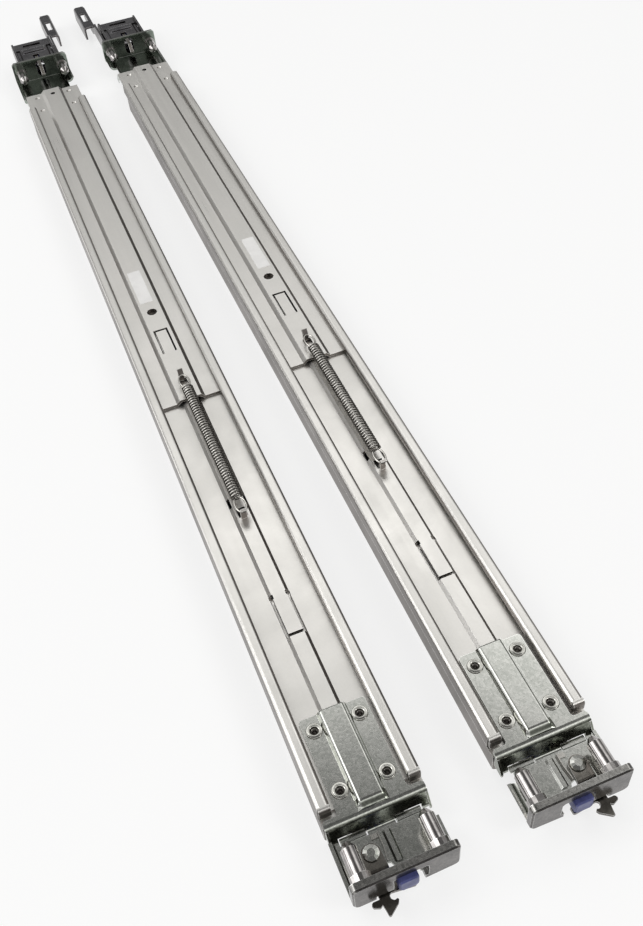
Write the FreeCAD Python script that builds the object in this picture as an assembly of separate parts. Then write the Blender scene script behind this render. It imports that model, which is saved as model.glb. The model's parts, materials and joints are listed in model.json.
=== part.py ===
"""Pair of sliding server rails: four-post rack rails with three-member ball slides, adjustable rear ends,
tool-less latching end brackets and return springs. Each rail lies on its side, server face down.

Frame: +Z up (away from the server), +Y towards the rack's rear, X across the rails. Each rail is drawn about
its own centreline with y = 0 on the face of the front flange that bears on the front rack post, then the
left rail is set beside its mirror image.
"""
import FreeCAD
import Part
import math
import os

V = FreeCAD.Vector

# ---------------------------------------------------------------- driving dimensions (mm)
RAIL_PITCH = 72.0            # centreline to centreline of the pair as it lies
POST_DISTANCE = 676.0        # front post face to rear post face, rail closed
ADJUST_TRAVEL = 192.0        # how far the rear end pulls out (range of the joint)
STUD_SPACING = 31.75         # rack hole pitch over one rack unit
STUD_Z = 16.4                # stud axis above the server's face

HALF_WIDTH = 21.5            # outside of the channels
CHANNEL_TOP = 19.0           # top of the guide channel's lips
GUIDE_T = 1.2                # guide channel sheet
SLIDE_T = 1.5                # slide channel sheet
GUIDE_WEB_TOP = 13.5         # upper face of the guide channel's web
LIP_INNER = 15.9             # inner edge of the lips
LIP_RETURN = 3.5             # depth of the lip's turned-down edge
WEB_RIB_HALF = 3.9           # half width of the raised middle of the web, at mid slope
WEB_RIB_RISE = 1.5
CHANNEL_FRONT = 30.0         # lips' front ends
CHANNEL_REAR = POST_DISTANCE - 64.5    # lips' rear ends
WEB_REAR = POST_DISTANCE - 74.0        # webs stop short of the lips
SLIDE_FRONT = 26.5           # front end of the slide channel

BRACKET_T = 1.5              # end bracket sheet
FLOOR_TOP = 8.4              # bracket floor, just below the rack post's inner edge
STEP_Y = 21.5                # foot of the front bracket's step
STEP_RUN = 3.8               # its slope
PLATE_HALF = 14.5            # bracket plate between the lips
PLATE_REAR = 70.5            # rear end of the bracket plate
RIVET_X = 10.1
RIVET_YS = (37.0, 64.0)
HAT_HALF = 5.6               # raised middle of the bracket plate, at mid slope
HAT_RISE = 1.8

FLANGE_T = 3.2               # front flange
FLANGE_TOP = 24.0
FLANGE_LOW = 6.9
GUSSET_T = 1.4
RIB_RISE = 0.9               # stiffening rib in the bracket's floor

STRIP_T = 1.5                # rear extension strip
STRIP_FRONT = 267.5
STRIP_REAR = POST_DISTANCE - 39.0
STRIP_RIB_HALF = 6.6
STRIP_RIB_RISE = 2.0
SLIDE_GAP = 0.2              # strip above the web it slides on
EDGE_GAP = 0.45              # strip's edges to the channel walls

BALL_R = 1.5
RACE_GAP = 0.1               # ball to raceway
BALL_Z = 3.3
RACE_DEPTH = 0.4             # groove depth in the middle and inner members
OUTER_BALL_X = HALF_WIDTH - SLIDE_T - BALL_R - RACE_GAP
MIDDLE_T = 2.0               # middle member's flange
INNER_T = 1.8                # inner member's flange
INNER_WEB_T = 1.0            # webs of the cold-rolled members
MIDDLE_WEB_T = 1.15
MIDDLE_TOP = 6.5
MIDDLE_FRONT = 28.0
MIDDLE_REAR = POST_DISTANCE - 80.0
INNER_FRONT = 24.0
INNER_REAR = POST_DISTANCE - 76.0
CAGE_T = 0.3
CAGE_GAP = 0.25              # cage web to the web above it
CAGE_FRONT = 250.0
CAGE_REAR = 430.0
BALLS_PER_SIDE = 3

SPRING_R = 3.2               # extension spring, outside
SPRING_WIRE = 1.1
SPRING_OVER_RIB = 0.2        # the spring clears the strip's rib by this
SPRING_FRONT = 188.0         # first and last coil
SPRING_REAR = 273.0
TAB_HALF = 1.5               # half width of the tabs that hold it
SPRING_TAB_FRONT = 180.0
SPRING_TAB_REAR = 284.0

RIVET_R = 2.3                # tubular rivets of the front bracket
RIVET_FIT = 0.02
STUD_COLLAR_R = 4.2          # fills a square rack hole
STUD_COLLAR = 4.0            # length of the collar
STUD_PIN_R = 3.3             # fills a round rack hole
STUD_LENGTH = 17.0

PIVOT_X = -8.0               # front latch's pivot
PIVOT_Y = 12.0
PIVOT_R = 2.0
LATCH_T = 1.5
LATCH_FIT = 0.05             # running fit of a latch on its pivot
HOOK_REACH = -10.6           # foremost point of the front latch
BUTTON_PROUD = 2.0           # button in front of the flange

CLINCH_R = 1.8               # dimples that clinch the strip to the rear bracket
CLINCH_DEPTH = 0.8
CLINCH_X = 12.0
CLINCH_YS = (POST_DISTANCE - 65.0, POST_DISTANCE - 45.0)
REAR_FLANGE_T = 1.8
HOUSING_HALF = 15.5
HOUSING_T = 1.5
HOUSING_REAR = POST_DISTANCE + 46.0
HOUSING_TOP = 21.0
REAR_PIVOT_Y = POST_DISTANCE + 16.0    # rear latch's pivot
REAR_PIVOT_Z = 15.0
REAR_PIVOT_R = 1.5
REAR_LATCH_HALF = 1.25
ARM_MOUNT_REAR = POST_DISTANCE + 98.0

KEYHOLE_YS = (52.0, 300.0, 560.0)
KEYHOLE_ENTRY_R = 5.5
KEYHOLE_NECK = 5.2
KEYHOLE_RUN = 14.0
ACCESS_R = 4.0               # access holes in the middle member, clear of the keyholes
ACCESS_YS = (KEYHOLE_YS[0] + 30, KEYHOLE_YS[-1] - 30)
LEVER_Y = 400.0              # front end of the release lever
LEVER_LENGTH = 70.0

PLAIN_SIDES = 10             # flats of punched holes and of the rivets in them
STUD_SIDES = 16
BALL_SIDES = 6

RACE_R = BALL_R + RACE_GAP
MIDDLE_OUT = OUTER_BALL_X - RACE_R + RACE_DEPTH
MIDDLE_IN = MIDDLE_OUT - MIDDLE_T
INNER_BALL_X = MIDDLE_IN + RACE_DEPTH - RACE_R
INNER_OUT = INNER_BALL_X - RACE_R + RACE_DEPTH
FLOOR_LOW = FLOOR_TOP - BRACKET_T
GUIDE_WEB_LOW = GUIDE_WEB_TOP - GUIDE_T
SLIDE_WEB_LOW = GUIDE_WEB_LOW - SLIDE_T
PLATE_TOP = GUIDE_WEB_TOP + BRACKET_T
STRIP_LOW = GUIDE_WEB_TOP + SLIDE_GAP
STRIP_TOP = STRIP_LOW + STRIP_T
RIB_TOP = STRIP_TOP + STRIP_RIB_RISE
SPRING_Z = RIB_TOP + SPRING_R + SPRING_OVER_RIB
STUD_X = STUD_SPACING / 2
BUTTON_FRONT = -FLANGE_T - BUTTON_PROUD
REAR_STEP_Y = STRIP_REAR + 5.5
TONGUE_FRONT = WEB_REAR + 2.5


# ---------------------------------------------------------------- drawing helpers
SMALL_CORNER = 1.6           # corners rounder than this are arcs, and smaller ones a plain chamfer


def place(u, v, w, plane):
    """A point of a sketch plane in space: XY sketches rise in Z, XZ in Y, YZ in X."""
    if plane == "XY":
        return V(u, v, w)
    if plane == "XZ":
        return V(u, w, v)
    return V(w, u, v)


def outline(corners, w, plane):
    """A closed face from (u, v) or (u, v, radius) corners; a radius gives an arc, or a chamfer if small."""
    starts = []
    ends = []
    arcs = []
    count = len(corners)
    for i, corner in enumerate(corners):
        u, v = corner[0], corner[1]
        radius = corner[2] if len(corner) > 2 else 0.0
        pu, pv = corners[i - 1][0], corners[i - 1][1]
        nu, nv = corners[(i + 1) % count][0], corners[(i + 1) % count][1]
        a = math.hypot(pu - u, pv - v)
        b = math.hypot(nu - u, nv - v)
        au, av = (pu - u) / a, (pv - v) / a
        bu, bv = (nu - u) / b, (nv - v) / b
        cosine = max(-1.0, min(1.0, au * bu + av * bv))
        half = math.acos(cosine) / 2
        if radius <= 0 or half > math.pi / 2 - 0.001:
            starts.append((u, v))
            ends.append((u, v))
            arcs.append(None)
            continue
        tangent = radius / math.tan(half)
        reach = radius / math.sin(half) - radius
        mu, mv = au + bu, av + bv
        size = math.hypot(mu, mv)
        starts.append((u + au * tangent, v + av * tangent))
        ends.append((u + bu * tangent, v + bv * tangent))
        arcs.append((u + mu / size * reach, v + mv / size * reach) if radius >= SMALL_CORNER else None)
    edges = []
    for i in range(count):
        first = place(*starts[i], w, plane)
        last = place(*ends[i], w, plane)
        if arcs[i]:
            edges.append(Part.Arc(first, place(*arcs[i], w, plane), last).toShape())
        elif (last - first).Length > 1e-6:
            edges.append(Part.LineSegment(first, last).toShape())
        following = place(*starts[(i + 1) % count], w, plane)
        if (following - last).Length > 1e-6:
            edges.append(Part.LineSegment(last, following).toShape())
    return Part.Face(Part.Wire(edges))


def prism(corners, plane, low, high):
    """The outline drawn at low and extruded to high, square to its plane."""
    return outline(corners, low, plane).extrude(place(0, 0, high - low, plane))


def sheet_corners(path, thickness, inner_radius):
    """Both faces of a folded sheet from its mid-line of (u, v) or (u, v, inner radius) points."""
    half = thickness / 2
    left = []
    right = []
    last = len(path) - 1
    for i, point in enumerate(path):
        u, v = point[0], point[1]
        bend = point[2] if len(point) > 2 else inner_radius
        before = path[max(i - 1, 0)]
        after = path[min(i + 1, last)]
        if i == 0:
            before = (2 * u - after[0], 2 * v - after[1])
        if i == last:
            after = (2 * u - before[0], 2 * v - before[1])
        a = math.hypot(u - before[0], v - before[1])
        b = math.hypot(after[0] - u, after[1] - v)
        du1, dv1 = (u - before[0]) / a, (v - before[1]) / a
        du2, dv2 = (after[0] - u) / b, (after[1] - v) / b
        turn = du1 * dv2 - dv1 * du2
        nu, nv = -dv1 - dv2, du1 + du2
        scale = half / (1 + du1 * du2 + dv1 * dv2)
        inside, outside = bend, bend + thickness
        if bend == 0 or i in (0, last):
            inside = outside = 0.0
        left.append((u + nu * scale, v + nv * scale, inside if turn > 0 else outside))
        right.append((u - nu * scale, v - nv * scale, outside if turn > 0 else inside))
    return left + right[::-1]


def folded(path, thickness, inner_radius, plane, low, high):
    """A sheet-metal section: the mid-line path given a thickness and bends, then extruded."""
    return prism(sheet_corners(path, thickness, inner_radius), plane, low, high)


def both_sides(half_path):
    """A path from the -X end to the +X end, mirrored about the centreline."""
    other = [(-p[0],) + tuple(p[1:]) for p in half_path]
    return half_path + other[::-1]


def block(x0, x1, y0, y1, z0, z1):
    """A rectangular block, used for cuts and small tabs."""
    return Part.makeBox(x1 - x0, y1 - y0, z1 - z0, V(x0, y0, z0))


def ring(radius, height, sides, origin):
    """A regular polygon's corners about a vertical axis; a single point where the radius is nil."""
    if radius == 0:
        return [V(origin[0], origin[1], origin[2] + height)]
    x, y, z = origin
    angles = [2 * math.pi * (i + 0.5) / sides for i in range(sides)]
    return [V(x + radius * math.cos(a), y + radius * math.sin(a), z + height) for a in angles]


def faceted(profile, sides, origin):
    """A turned piece drawn with flat sides; its (radius, height) profile runs from bottom to top."""
    rings = [ring(r, h, sides, origin) for r, h in profile]
    faces = []
    for low, high in zip(rings, rings[1:]):
        for i in range(sides):
            j = (i + 1) % sides
            corners = [low[i % len(low)], low[j % len(low)], high[j % len(high)], high[i % len(high)]]
            kept = [c for k, c in enumerate(corners) if (c - corners[k - 1]).Length > 1e-9]
            faces.append(Part.Face(Part.makePolygon(kept + kept[:1])))
    for flat in (rings[0], rings[-1]):
        if len(flat) > 1:
            faces.append(Part.Face(Part.makePolygon(flat + flat[:1])))
    return Part.makeSolid(Part.makeShell(faces))


def rod(radius, start, end):
    """A round bar between two points."""
    run = V(*end) - V(*start)
    return Part.makeCylinder(radius, run.Length, V(*start), run)


def mirrored_x(shape):
    return shape.mirror(V(0, 0, 0), V(1, 0, 0))


def joined(shapes):
    """One solid from overlapping or touching shapes."""
    return shapes[0].fuse(shapes[1:]).removeSplitter()


# ---------------------------------------------------------------- fixed channels


def plain_hole(radius, x, y, z0, z1, sides=PLAIN_SIDES):
    """A cut for a punched hole, drawn with few flats where nothing turns in it."""
    return faceted([(radius, z0), (radius, z1)], sides, (x, y, 0))


def rivet_hole_cuts():
    return [plain_hole(RIVET_R, side * RIVET_X, y, SLIDE_WEB_LOW - 1, PLATE_TOP + 1)
            for side in (-1, 1) for y in RIVET_YS]


def spring_tab(y, foot, lean):
    """A lanced tab that holds the spring's end loop; its head leans away from the spring."""
    top = SPRING_Z + 1.9
    path = [(y + lean * 2.2, foot + 0.6), (y, foot + 0.6), (y, SPRING_Z - 0.4), (y + lean * 1.6, top)]
    return folded(path, 1.2, 0, "YZ", -TAB_HALF, TAB_HALF)


def guide_channel():
    """Rolled channel with turned-down lips: the rear strip slides under the lips."""
    mid = GUIDE_WEB_TOP - GUIDE_T / 2
    top = CHANNEL_TOP - GUIDE_T / 2
    wall = HALF_WIDTH - GUIDE_T / 2
    lip = LIP_INNER + GUIDE_T / 2
    rise = WEB_RIB_RISE
    half = [(-lip, CHANNEL_TOP - LIP_RETURN), (-lip, top), (-wall, top), (-wall, mid, 0),
            (-WEB_RIB_HALF - rise / 2, mid, 0), (-WEB_RIB_HALF + rise / 2, mid + rise, 0)]
    nose = CHANNEL_FRONT + GUIDE_T / 2
    start = CHANNEL_FRONT + GUIDE_T * 1.5
    channel = folded(both_sides(half), GUIDE_T, 0.6, "XZ", start, CHANNEL_REAR)
    flap = folded([(nose, GUIDE_WEB_TOP + 0.1), (nose, top), (start + 0.5, top)], GUIDE_T, 0.6,
                  "YZ", LIP_INNER + 0.3, HALF_WIDTH - 0.3)
    tab_foot = GUIDE_WEB_TOP + rise - GUIDE_T
    channel = joined([channel, flap, mirrored_x(flap), spring_tab(SPRING_TAB_FRONT, tab_foot, -1)])
    cuts = rivet_hole_cuts()
    inside = HALF_WIDTH - GUIDE_T - 0.1
    cuts.append(block(-inside, inside, WEB_REAR, CHANNEL_REAR + 1, GUIDE_WEB_LOW - 1, GUIDE_WEB_TOP + 0.2))
    cuts.append(block(-2.3, 2.3, SPRING_TAB_FRONT + 0.7, SPRING_TAB_FRONT + 6.5, 11, 16))
    cuts += lanced_slots()
    return channel.cut(cuts)


def lanced_slots():
    """Slots that free the stop tongue, and the two beside the spring's front tab."""
    slots = []
    for side in (-1, 1):
        x = side * 4.0
        slots.append(block(x - 0.45, x + 0.45, 110.0, 131.0, 11, 16))
        slots.append(block(x - 1.1, x + 1.1, 130.6, 133.0, 11, 16))
        slots.append(block(x - 0.6, x + 0.6, 188.5, 194.5, 11, 16))
    slots.append(block(-4.4, 4.4, 109.4, 110.9, 11, 16))
    return slots


def slide_channel():
    """Outer member of the ball slide, back to back with the guide channel; its edges curl round the balls."""
    mid = GUIDE_WEB_LOW - SLIDE_T / 2
    wall = HALF_WIDTH - SLIDE_T / 2
    low = BALL_Z - RACE_R - SLIDE_T / 2
    half = [(-MIDDLE_OUT - 0.4, low), (-wall, low, RACE_R), (-wall, mid)]
    channel = folded(both_sides(half), SLIDE_T, 0, "XZ", SLIDE_FRONT, WEB_REAR)
    cuts = rivet_hole_cuts()
    cuts.append(block(-5.2, 5.2, SPRING_TAB_FRONT - 6, SPRING_TAB_FRONT + 16, 9, 13))
    return channel.cut(cuts)


# ---------------------------------------------------------------- front end
def step_wall(foot_y, direction, top_mid, low_mid):
    """Mid-line of a bracket's step from the upper level down to the floor."""
    return [(foot_y + direction * STEP_RUN, top_mid), (foot_y, low_mid)]


def side_fold(side, y0, y1, height, inner_radius):
    """A bracket side turned up from the floor."""
    mid = FLOOR_TOP - BRACKET_T / 2
    wall = HALF_WIDTH - GUSSET_T / 2
    fold = folded([(14.0, mid), (wall, mid), (wall, height)], GUSSET_T, inner_radius, "XZ", y0, y1)
    return fold if side > 0 else mirrored_x(fold)


def gusset(flange_y, away):
    """Curved side wall on the inner side, its top sloping down from the flange."""
    reach = 15.5
    ends = sorted((flange_y, flange_y + away * reach))
    fold = side_fold(1, ends[0], ends[1], FLANGE_TOP - 1.5, 3.0)
    keep = prism([(flange_y, 4.0), (flange_y + away * reach, 4.0), (flange_y + away * reach, 10.6, 1.5),
                  (flange_y + away * 4.5, FLANGE_TOP - 1.5, 2.0), (flange_y, FLANGE_TOP - 1.5)],
                 "YZ", 0, HALF_WIDTH + 1)
    return fold.common(keep)


def front_bracket():
    """One pressing: riveted plate with a raised middle, step, floor, low sides and a gusset."""
    mid = GUIDE_WEB_TOP + BRACKET_T / 2
    low = FLOOR_TOP - BRACKET_T / 2
    wide = HALF_WIDTH - 0.4
    path = [(PLATE_REAR, mid)] + step_wall(STEP_Y, 1, mid, low) + [(0.0, low)]
    sheet = folded(path, BRACKET_T, 1.6, "YZ", -wide, wide)
    shoulder = CHANNEL_FRONT - 1.6
    plan = prism([(-wide, -1), (wide, -1), (wide, shoulder, 0.9), (PLATE_HALF, shoulder, 0.9),
                  (PLATE_HALF, PLATE_REAR, 0.9), (-PLATE_HALF, PLATE_REAR, 0.9),
                  (-PLATE_HALF, shoulder, 0.9), (-wide, shoulder, 0.9)], "XY", 0, CHANNEL_TOP)
    sheet = sheet.common(plan)
    hat_front = CHANNEL_FRONT + 1.0
    trim = 16.0
    cuts = [block(-HAT_HALF, HAT_HALF, hat_front, PLATE_REAR + 1, 12, 17)]
    cuts += [block(trim, 30, -1, STEP_Y - 0.5, 5, 10), block(-30, -trim, -1, STEP_Y - 0.5, 5, 10)]
    sheet = sheet.cut(cuts)
    slope = HAT_RISE / 2
    hat = folded([(-8.0, mid), (-HAT_HALF - slope / 2, mid), (-HAT_HALF + slope / 2, mid + HAT_RISE),
                  (HAT_HALF - slope / 2, mid + HAT_RISE), (HAT_HALF + slope / 2, mid), (8.0, mid)],
                 BRACKET_T, 0, "XZ", hat_front, PLATE_REAR)
    rib = prism([(-1.4, low), (3.4, low), (1.9, FLOOR_TOP + RIB_RISE), (0.1, FLOOR_TOP + RIB_RISE)],
                "XZ", 6.0, 18.5)
    cheek = prism([(STEP_Y - 1.5, FLOOR_LOW), (SLIDE_FRONT - 0.8, FLOOR_LOW), (SLIDE_FRONT - 0.8, 13.8),
                   (STEP_Y + 2.5, 13.8), (STEP_Y - 1.5, FLOOR_TOP)], "YZ", HALF_WIDTH - GUSSET_T, wide)
    sides = [side_fold(-1, 0.0, STEP_Y, 10.6, 0.9), side_fold(1, 0.0, STEP_Y, 10.6, 3.0), gusset(0.0, 1)]
    body = joined([sheet, hat, hat_nose(hat_front), rib, cheek, mirrored_x(cheek)] + sides)
    return body.cut(bracket_openings() + rivet_hole_cuts())


def hat_nose(rear):
    """Rounded front end of the bracket plate's raised middle."""
    base = PLATE_TOP - 0.5
    top = PLATE_TOP + HAT_RISE

    def section(y, foot, crown, height):
        return Part.makePolygon([V(-foot, y, base), V(-crown, y, height), V(crown, y, height),
                                 V(foot, y, base), V(-foot, y, base)])
    wide = HAT_HALF + 1.0
    return Part.makeLoft([section(rear, wide, HAT_HALF - 0.6, top),
                          section(rear - 2.0, wide - 0.5, HAT_HALF - 1.0, top - 0.25),
                          section(rear - 4.0, wide - 2.0, HAT_HALF - 2.4, base + 0.5)], True, True)


def bracket_openings():
    """Windows at the foot of the step, and the cut-out that the latch arm works in."""
    cuts = []
    for side in (-1, 1):
        x0, x1 = sorted((side * 5.8, side * 17.4))
        cuts.append(block(x0, x1, STEP_Y - 2.0, STEP_Y + 1.4, 5, FLOOR_TOP + 1.6))
    arm = prism([(-12.8, -1), (-12.8, 10.5), (-2.2, 6.9), (-0.8, 4.0), (-0.8, 2.2), (6.6, 2.2), (6.6, -1)],
                "XY", FLOOR_LOW - 1, FLOOR_TOP + 0.05)
    keep = plain_hole(4.4, PIVOT_X, PIVOT_Y, 0, 20)
    cuts.append(arm.cut(keep))
    cuts.append(rod(PIVOT_R + RIVET_FIT, (PIVOT_X, PIVOT_Y, 0), (PIVOT_X, PIVOT_Y, 20)))
    return cuts


def front_flange():
    """The thick face that bears on the front of the rack post, with the button's window and a low notch."""
    edge = HALF_WIDTH
    plate = prism([(-edge, FLANGE_LOW, 3.0), (-12.4, FLANGE_LOW), (-12.4, 10.2), (-5.4, 10.2),
                   (-5.4, 19.2, 1.0), (8.6, 19.2, 1.0), (8.6, 10.2), (7.2, 10.2),
                   (7.2, FLANGE_LOW), (edge, FLANGE_LOW + 0.8, 2.6),
                   (edge, FLANGE_TOP, 2.2), (-edge, FLANGE_TOP, 2.2)], "XZ", -FLANGE_T, 0.0)
    rim = [e for e in plate.Edges
           if e.BoundBox.YMax < -FLANGE_T + 0.01
           and (e.BoundBox.ZMax > FLANGE_TOP - 2.3 or abs(e.CenterOfMass.x) > edge - 3.1)]
    return plate.makeChamfer(0.7, rim)


def stud(x, y, direction):
    """Locating stud on its flange: a collar, and a pin with a tapered tip."""
    taper = 2.6
    collar = faceted([(STUD_COLLAR_R, 0), (STUD_COLLAR_R, STUD_COLLAR)], STUD_SIDES, (0, 0, 0))
    pin = rod(STUD_PIN_R, (0, 0, 0), (0, 0, STUD_LENGTH - taper))
    tip = faceted([(STUD_PIN_R, STUD_LENGTH - taper), (STUD_PIN_R - 1.9, STUD_LENGTH)], STUD_SIDES, (0, 0, 0))
    solid = joined([collar, pin, tip])
    solid.Placement = FreeCAD.Placement(V(x, y, STUD_Z), FreeCAD.Rotation(V(0, 0, 1), V(0, direction, 0)))
    return solid


def front_studs():
    return Part.Compound([stud(x, 0.0, 1) for x in (-STUD_X, STUD_X)])


def front_rivets():
    """Tubular rivets with rolled heads above and flared tails below."""
    bore = 1.5
    top = PLATE_TOP
    low = SLIDE_WEB_LOW
    shank = RIVET_R - RIVET_FIT
    profile = [(0, low - 0.6), (RIVET_R + 0.9, low - 0.6), (RIVET_R + 0.9, low), (shank, low),
               (shank, top), (RIVET_R + 1.3, top), (RIVET_R + 0.6, top + 0.7), (bore, top + 0.5),
               (bore, top - 1.5), (0, top - 1.5)]
    places = [(side * RIVET_X, y, 0) for side in (-1, 1) for y in RIVET_YS]
    return Part.Compound([faceted(profile, PLAIN_SIDES, place) for place in places])


def front_latch_hook():
    """Pressed latch arm: a hub on top of the floor, a joggle down through it, and a barbed hook in front."""
    rear_mid = FLOOR_TOP + 0.2 + LATCH_T / 2
    front_mid = FLOOR_LOW + LATCH_T / 2 + 0.05
    path = [(PIVOT_Y + 5, rear_mid), (5.6, rear_mid), (3.6, front_mid), (-12, front_mid)]
    sheet = folded(path, LATCH_T, 0.4, "YZ", -20, 12)
    arm = prism([(-12.0, PIVOT_Y - 1), (-11.6, -4.5), (-11.0, -8.0), (-10.7, HOOK_REACH),
                 (-9.8, HOOK_REACH), (-5.6, -7.6, 0.5),
                 (-4.6, -5.6, 0.4), (-6.6, -6.2, 0.5), (-8.2, -4.8, 0.9), (-7.0, -3.2, 0.6),
                 (3.4, -4.4, 0.6), (3.4, -1.2, 0.4), (-3.2, -1.2), (-3.6, 1.6), (-4.0, PIVOT_Y - 1)],
                "XY", 4, 12)
    hub = rod(4.0, (PIVOT_X, PIVOT_Y, 4), (PIVOT_X, PIVOT_Y, 14))
    flat = sheet.common(joined([arm, hub]))
    ear = prism([(-15.4, -5.6, 0.6), (-12.4, -6.8, 0.4), (-11.0, -5.8), (-11.0, -3.9), (-14.6, -3.9, 0.6)],
                "XY", front_mid - LATCH_T / 2, front_mid + LATCH_T / 2)
    post = prism([(-2.6, front_mid - LATCH_T / 2), (3.0, front_mid - LATCH_T / 2), (3.0, 17.0, 0.8),
                  (-2.6, 17.0, 0.8)], "XZ", -2.6, -1.2)
    bore = rod(PIVOT_R + LATCH_FIT, (PIVOT_X, PIVOT_Y, 0), (PIVOT_X, PIVOT_Y, 20))
    return joined([flat, ear, post]).cut(bore)


def front_latch_button():
    """Moulded cap pressed over the latch arm's post, standing proud of the window."""
    cap = prism([(-4.0, 10.6, 1.2), (4.0, 10.6, 1.2), (4.0, 18.4, 1.6), (-4.0, 18.4, 1.6)],
                "XZ", BUTTON_FRONT, -0.8)
    face = [e for e in cap.Edges if e.BoundBox.YMax < BUTTON_FRONT + 0.01]
    cap = cap.makeChamfer(0.6, face)
    return cap.cut(block(-2.6, 3.0, -2.6, -1.2, 5, 17.0))


def front_latch_pivot():
    """Headed rivet that the latch arm turns on."""
    under_head = FLOOR_TOP + 0.2 + LATCH_T + 0.3
    shank = rod(PIVOT_R, (PIVOT_X, PIVOT_Y, FLOOR_LOW - 0.1), (PIVOT_X, PIVOT_Y, under_head + 0.5))
    profile = [(PIVOT_R + 1.3, under_head), (PIVOT_R + 1.2, under_head + 0.6),
               (PIVOT_R - 0.4, under_head + 1.1)]
    head = faceted(profile, 12, (PIVOT_X, PIVOT_Y, 0))
    return joined([shank, head])


def front_latch_spring():
    """Leaf spring that holds the latch arm home, its root staked to the floor."""
    z0 = FLOOR_TOP
    path = [(-2.5, 19.0), (-2.5, 13.0), (-3.2, 7.6)]
    leaf = folded(path, 0.4, 0.8, "XY", z0, z0 + 1.6)
    foot = block(-5.6, -2.4, 17.0, 19.0, z0, z0 + 0.5)
    return joined([leaf, foot])


# ---------------------------------------------------------------- rear end (pulls out)
def rear_extension():
    """Long strip with a raised middle; slides under the guide channel's lips and carries the rear bracket."""
    edge = HALF_WIDTH - GUIDE_T - EDGE_GAP
    mid = STRIP_LOW + STRIP_T / 2
    rise = STRIP_RIB_RISE
    half = [(-edge, mid), (-STRIP_RIB_HALF - rise / 2, mid, 0), (-STRIP_RIB_HALF + rise / 2, mid + rise, 0)]
    strip = folded(both_sides(half), STRIP_T, 0.5, "XZ", STRIP_FRONT, STRIP_REAR)
    strip = joined([strip, spring_tab(SPRING_TAB_REAR, RIB_TOP - 1.2, 1)])
    cuts = [plain_hole(3.0, 0, 345.0, 12, 20), plain_hole(1.7, 0, 629.0, 12, 20),
            block(-2.3, 2.3, SPRING_TAB_REAR - 5.5, SPRING_TAB_REAR - 0.6, 12, 20)]
    cuts += finger_slots()
    cuts += [clinch_dimple(side * CLINCH_X, y) for side in (-1, 1) for y in CLINCH_YS]
    return strip.cut(cuts)


def clinch_dimple(x, y):
    """Pressed dimple that clinches the strip to the rear bracket's tongue."""
    return faceted([(CLINCH_R - 0.7, -CLINCH_DEPTH), (CLINCH_R, 0.1)], 10, (x, y, STRIP_TOP))


def finger_slots():
    """U-shaped slot that frees the strip's snap finger."""
    return [block(-4.1, -3.0, 307.0, 328.0, 12, 20), block(3.0, 4.1, 307.0, 328.0, 12, 20),
            block(-4.1, 4.1, 326.6, 328.0, 12, 20)]


def rear_bracket():
    """Tongue under the strip, step, floor and upright flange, with a gusset on the inner side."""
    mid = STRIP_LOW - BRACKET_T / 2
    low = FLOOR_TOP - BRACKET_T / 2
    inside = HALF_WIDTH - GUIDE_T - EDGE_GAP
    tongue = folded([(TONGUE_FRONT, mid)] + step_wall(REAR_STEP_Y, -1, mid, low) + [(POST_DISTANCE, low)],
                    BRACKET_T, 1.6, "YZ", -inside, inside)
    tongue = tongue.cut([block(16, 30, REAR_STEP_Y + 0.5, POST_DISTANCE + 1, 5, 10),
                         block(-30, -16, REAR_STEP_Y + 0.5, POST_DISTANCE + 1, 5, 10)])
    edge = HALF_WIDTH
    flange = prism([(-edge, FLOOR_LOW, 2.0), (edge, FLOOR_LOW, 2.0), (edge, FLANGE_TOP, 3.0),
                    (-edge, FLANGE_TOP, 1.5)], "XZ", POST_DISTANCE, POST_DISTANCE + REAR_FLANGE_T)
    sides = [side_fold(-1, REAR_STEP_Y, POST_DISTANCE, 10.6, 0.9),
             side_fold(1, REAR_STEP_Y, POST_DISTANCE, 10.6, 3.0), gusset(POST_DISTANCE, -1)]
    cheek = prism([(REAR_STEP_Y + 1.5, FLOOR_LOW), (REAR_STEP_Y - 4.4, FLOOR_LOW), (REAR_STEP_Y - 4.4, 12.2),
                   (REAR_STEP_Y - 1.5, 12.2), (REAR_STEP_Y + 1.5, FLOOR_TOP)],
                  "YZ", HALF_WIDTH - GUSSET_T - 0.6, inside)
    body = joined([tongue, flange, cheek, mirrored_x(cheek)] + sides)
    window = prism([(-3.4, 10.0, 3.0), (3.4, 10.0, 3.0), (3.4, 22.4, 3.0), (-3.4, 22.4, 3.0)],
                   "XZ", POST_DISTANCE - 1, POST_DISTANCE + 5)
    return body.cut(window)


def rear_studs():
    return Part.Compound([stud(x, POST_DISTANCE, -1) for x in (-STUD_X, STUD_X)])


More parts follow.
